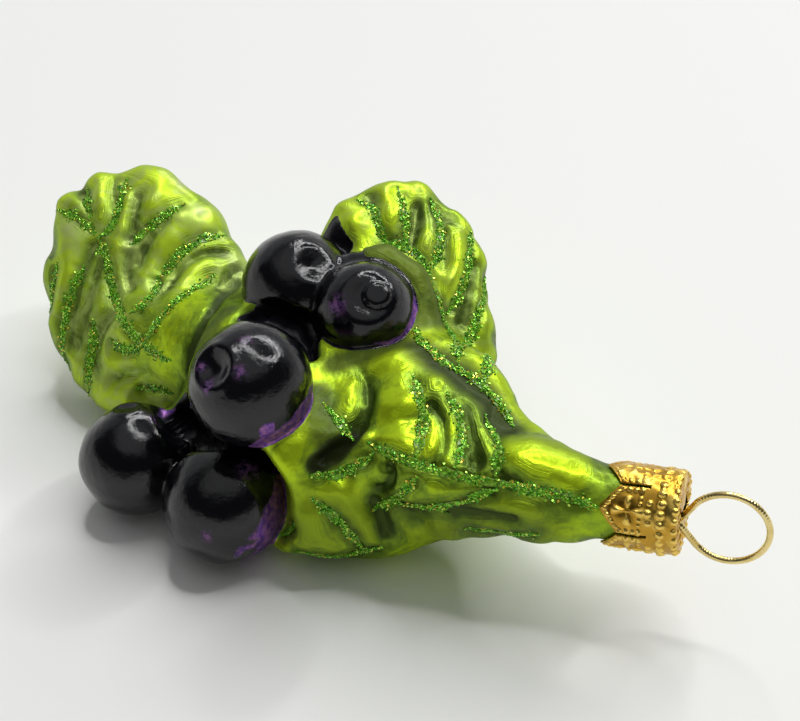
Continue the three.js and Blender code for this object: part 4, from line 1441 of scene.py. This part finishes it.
class SprigStageSettings(bpy.types.PropertyGroup):
    floor: colour("Floor", "Matt pale floor", "#f3f3f0")
    back_wall: colour("Back wall", "Room behind the ornament", "#b2b4b6")
    ceiling: colour("Ceiling", "Pale ceiling over the ornament", "#bebfc0")
    dark_room: colour("Dark room", "Room in front of the ornament", "#3c3d3e")
    horizon: colour("Horizon", "Pale band along the horizon", "#d8d8d6")
    lamp_power: FloatProperty(name="Lamp power", description="Power of each lamp of the ring",
                              default=10.0, min=0.0, unit="POWER")
    lamps: IntProperty(name="Lamps", description="Lamps in the ring", default=36, min=3)


# ------------------------------------------------------------------ operators

class SPRIG_OT_glass(bpy.types.Operator):
    """Blow the glass body: berries, leaves and neck in one piece"""
    bl_idname = "sprig.glass"
    bl_label = "Glass Body"

    def execute(self, context):
        piece = blown_glass(context.scene.sprig_glass)
        dress(piece, "lacquered_glass", "glass_body")
        return {"FINISHED"}


class SPRIG_OT_cap(bpy.types.Operator):
    """Stamp the gilt cap that closes the neck"""
    bl_idname = "sprig.cap"
    bl_label = "Cap"

    def execute(self, context):
        piece = stamped_cap(context.scene.sprig_cap)
        dress(piece, "gilt_cap", "cap")
        return {"FINISHED"}


class SPRIG_OT_hanger(bpy.types.Operator):
    """Bend the wire hanger"""
    bl_idname = "sprig.hanger"
    bl_label = "Hanger"

    def execute(self, context):
        piece = wire_hanger(context.scene.sprig_hanger)
        dress(piece, "brass_wire", "hanger")
        return {"FINISHED"}


class SPRIG_OT_glitter(bpy.types.Operator):
    """Lay the strokes of glitter glue along the veins of every leaf"""
    bl_idname = "sprig.glitter"
    bl_label = "Glitter"

    def execute(self, context):
        scene = context.scene
        for leaf_name, (_, strokes) in STROKES.items():
            piece = glitter_strokes(leaf_name, scene.sprig_glitter, scene.sprig_glass)
            nodes = [f"glitter_{leaf_name}_{stroke[0]}" for stroke in strokes]
            dress(piece, "glitter_glue", *nodes)
        return {"FINISHED"}


class SPRIG_OT_stage(bpy.types.Operator):
    """Set up the floor, the lamps, the world and the camera"""
    bl_idname = "sprig.stage"
    bl_label = "Stage"

    def execute(self, context):
        settings = context.scene.sprig_stage
        build_floor(settings)
        build_world(settings)
        build_lamps(settings)
        build_camera()
        return {"FINISHED"}


FLOOR_HALF = 4.0  # metres

# The ring of lamps: the way to its middle, its half angle as seen from the ornament and that of each
# lamp in degrees, and how far off they are in metres.
LAMP_RING_WAY = (0.33, 0.46, 0.82)
LAMP_RING_ANGLE = 23
LAMP_ANGLE = 2.0
LAMP_DISTANCE = 6.0

# The camera: focal length, degrees above the horizon, the point it looks at in the maker's
# millimetres, and how far off it is in metres.
LENS = 70.9
CAMERA_ELEVATION = 42
CAMERA_AIM = (5.0, 8.0, 14.0)
CAMERA_DISTANCE = 0.25


def build_floor(settings):
    """A wide matt floor under the ornament."""
    material, tree = new_material("matt white paper")
    place = object_place(tree)
    finish_material(tree, {"Base Color": rgba(settings.floor), "Roughness": 0.55},
                    noise(tree, place, 0.6, 4), 0.05, 0.15)
    mesh = bpy.data.meshes.new("floor")
    half = FLOOR_HALF
    corners = [(-half, -half, 0), (half, -half, 0), (half, half, 0), (-half, half, 0)]
    mesh.from_pydata(corners, [], [(0, 1, 2, 3)])
    mesh.materials.append(material)
    new_object("floor", mesh)


def build_world(settings):
    """A room that is grey behind the ornament and overhead, dark in front, and pale along the
    horizon."""
    world = bpy.data.worlds.new("soft studio")
    world.use_nodes = True
    tree = world.node_tree
    tree.nodes.clear()
    way = add_node(tree, "ShaderNodeTexCoord").outputs["Generated"]
    parts = add_node(tree, "ShaderNodeSeparateXYZ", {0: way})
    up = parts.outputs["Z"]
    behind = times(tree, eased(tree, parts.outputs["Y"], 0.1, 0.6), eased(tree, up, 0.9, 0.55))
    room = rgba(settings.dark_room)
    for share, shade in ((behind, settings.back_wall),
                         (eased(tree, up, 0.72, 0.92), settings.ceiling),
                         (eased(tree, up, 0.3, 0.12), settings.horizon)):
        room = mix_colour(tree, share, room, rgba(shade))
    background = add_node(tree, "ShaderNodeBackground", {"Color": room, "Strength": 1.0})
    add_node(tree, "ShaderNodeOutputWorld", {"Surface": background.outputs[0]})
    bpy.context.scene.world = world


def build_lamps(settings):
    """A ring of round soft lamps, high behind the ornament and a little to its right."""
    centre = unit(LAMP_RING_WAY)
    side = unit(np.cross(centre, (0, 0, 1)))
    above = np.cross(side, centre)
    ring = math.tan(math.radians(LAMP_RING_ANGLE))
    for i in range(settings.lamps):
        turn = 2 * math.pi * i / settings.lamps
        way = centre + ring * (math.cos(turn) * side + math.sin(turn) * above)
        lamp = bpy.data.lights.new(f"lamp_{i + 1}", "AREA")
        lamp.shape = "DISK"
        lamp.size = 2 * LAMP_DISTANCE * math.tan(math.radians(LAMP_ANGLE))
        lamp.energy = settings.lamp_power
        lamp_object = new_object(lamp.name, lamp)
        lamp_object.location = LAMP_DISTANCE * way
        lamp_object.rotation_euler = Vector(-way).to_track_quat("-Z", "Y").to_euler()


def build_camera():
    """A long lens looking down at the ornament."""
    camera = bpy.data.cameras.new("camera")
    camera.sensor_width = 36.0
    camera.lens = LENS
    camera.clip_start = 0.01
    camera.clip_end = 30.0
    elevation = math.radians(CAMERA_ELEVATION)
    aim = (np.array(CAMERA_AIM) - FRAME_ORIGIN) * MILLIMETRE
    back = np.array([0, -math.cos(elevation), math.sin(elevation)])
    camera_object = new_object("camera", camera)
    camera_object.location = aim + CAMERA_DISTANCE * back
    camera_object.rotation_euler = (math.pi / 2 - elevation, 0, 0)
    bpy.context.scene.camera = camera_object
    bpy.context.scene.view_settings.view_transform = "Standard"


class SPRIG_PT_panel(bpy.types.Panel):
    """Lists the pieces of the ornament"""
    bl_idname = "SPRIG_PT_panel"
    bl_label = "Glass Sprig"
    bl_space_type = "VIEW_3D"
    bl_region_type = "UI"
    bl_category = "Sprig"

    def draw(self, context):
        layout = self.layout
        for operator, name, group in PIECES:
            layout.operator(operator.bl_idname)
            for setting in group.__annotations__:
                layout.prop(getattr(context.scene, name), setting)


PIECES = [
    (SPRIG_OT_stage, "sprig_stage", SprigStageSettings),
    (SPRIG_OT_glass, "sprig_glass", SprigGlassSettings),
    (SPRIG_OT_cap, "sprig_cap", SprigCapSettings),
    (SPRIG_OT_hanger, "sprig_hanger", SprigHangerSettings),
    (SPRIG_OT_glitter, "sprig_glitter", SprigGlitterSettings),
]


def register():
    """Adds the settings, the operators and the panel."""
    for operator, name, group in PIECES:
        bpy.utils.register_class(group)
        setattr(bpy.types.Scene, name, PointerProperty(type=group))
        bpy.utils.register_class(operator)
    bpy.utils.register_class(SPRIG_PT_panel)


def unregister():
    """Takes away what register adds, in the opposite order."""
    bpy.utils.unregister_class(SPRIG_PT_panel)
    for operator, name, group in reversed(PIECES):
        bpy.utils.unregister_class(operator)
        delattr(bpy.types.Scene, name)
        bpy.utils.unregister_class(group)


def main():
    """Builds the stage and every piece."""
    register()
    bpy.ops.sprig.stage()
    bpy.ops.sprig.glass()
    bpy.ops.sprig.cap()
    bpy.ops.sprig.hanger()
    bpy.ops.sprig.glitter()


if __name__ == "__main__":
    main()
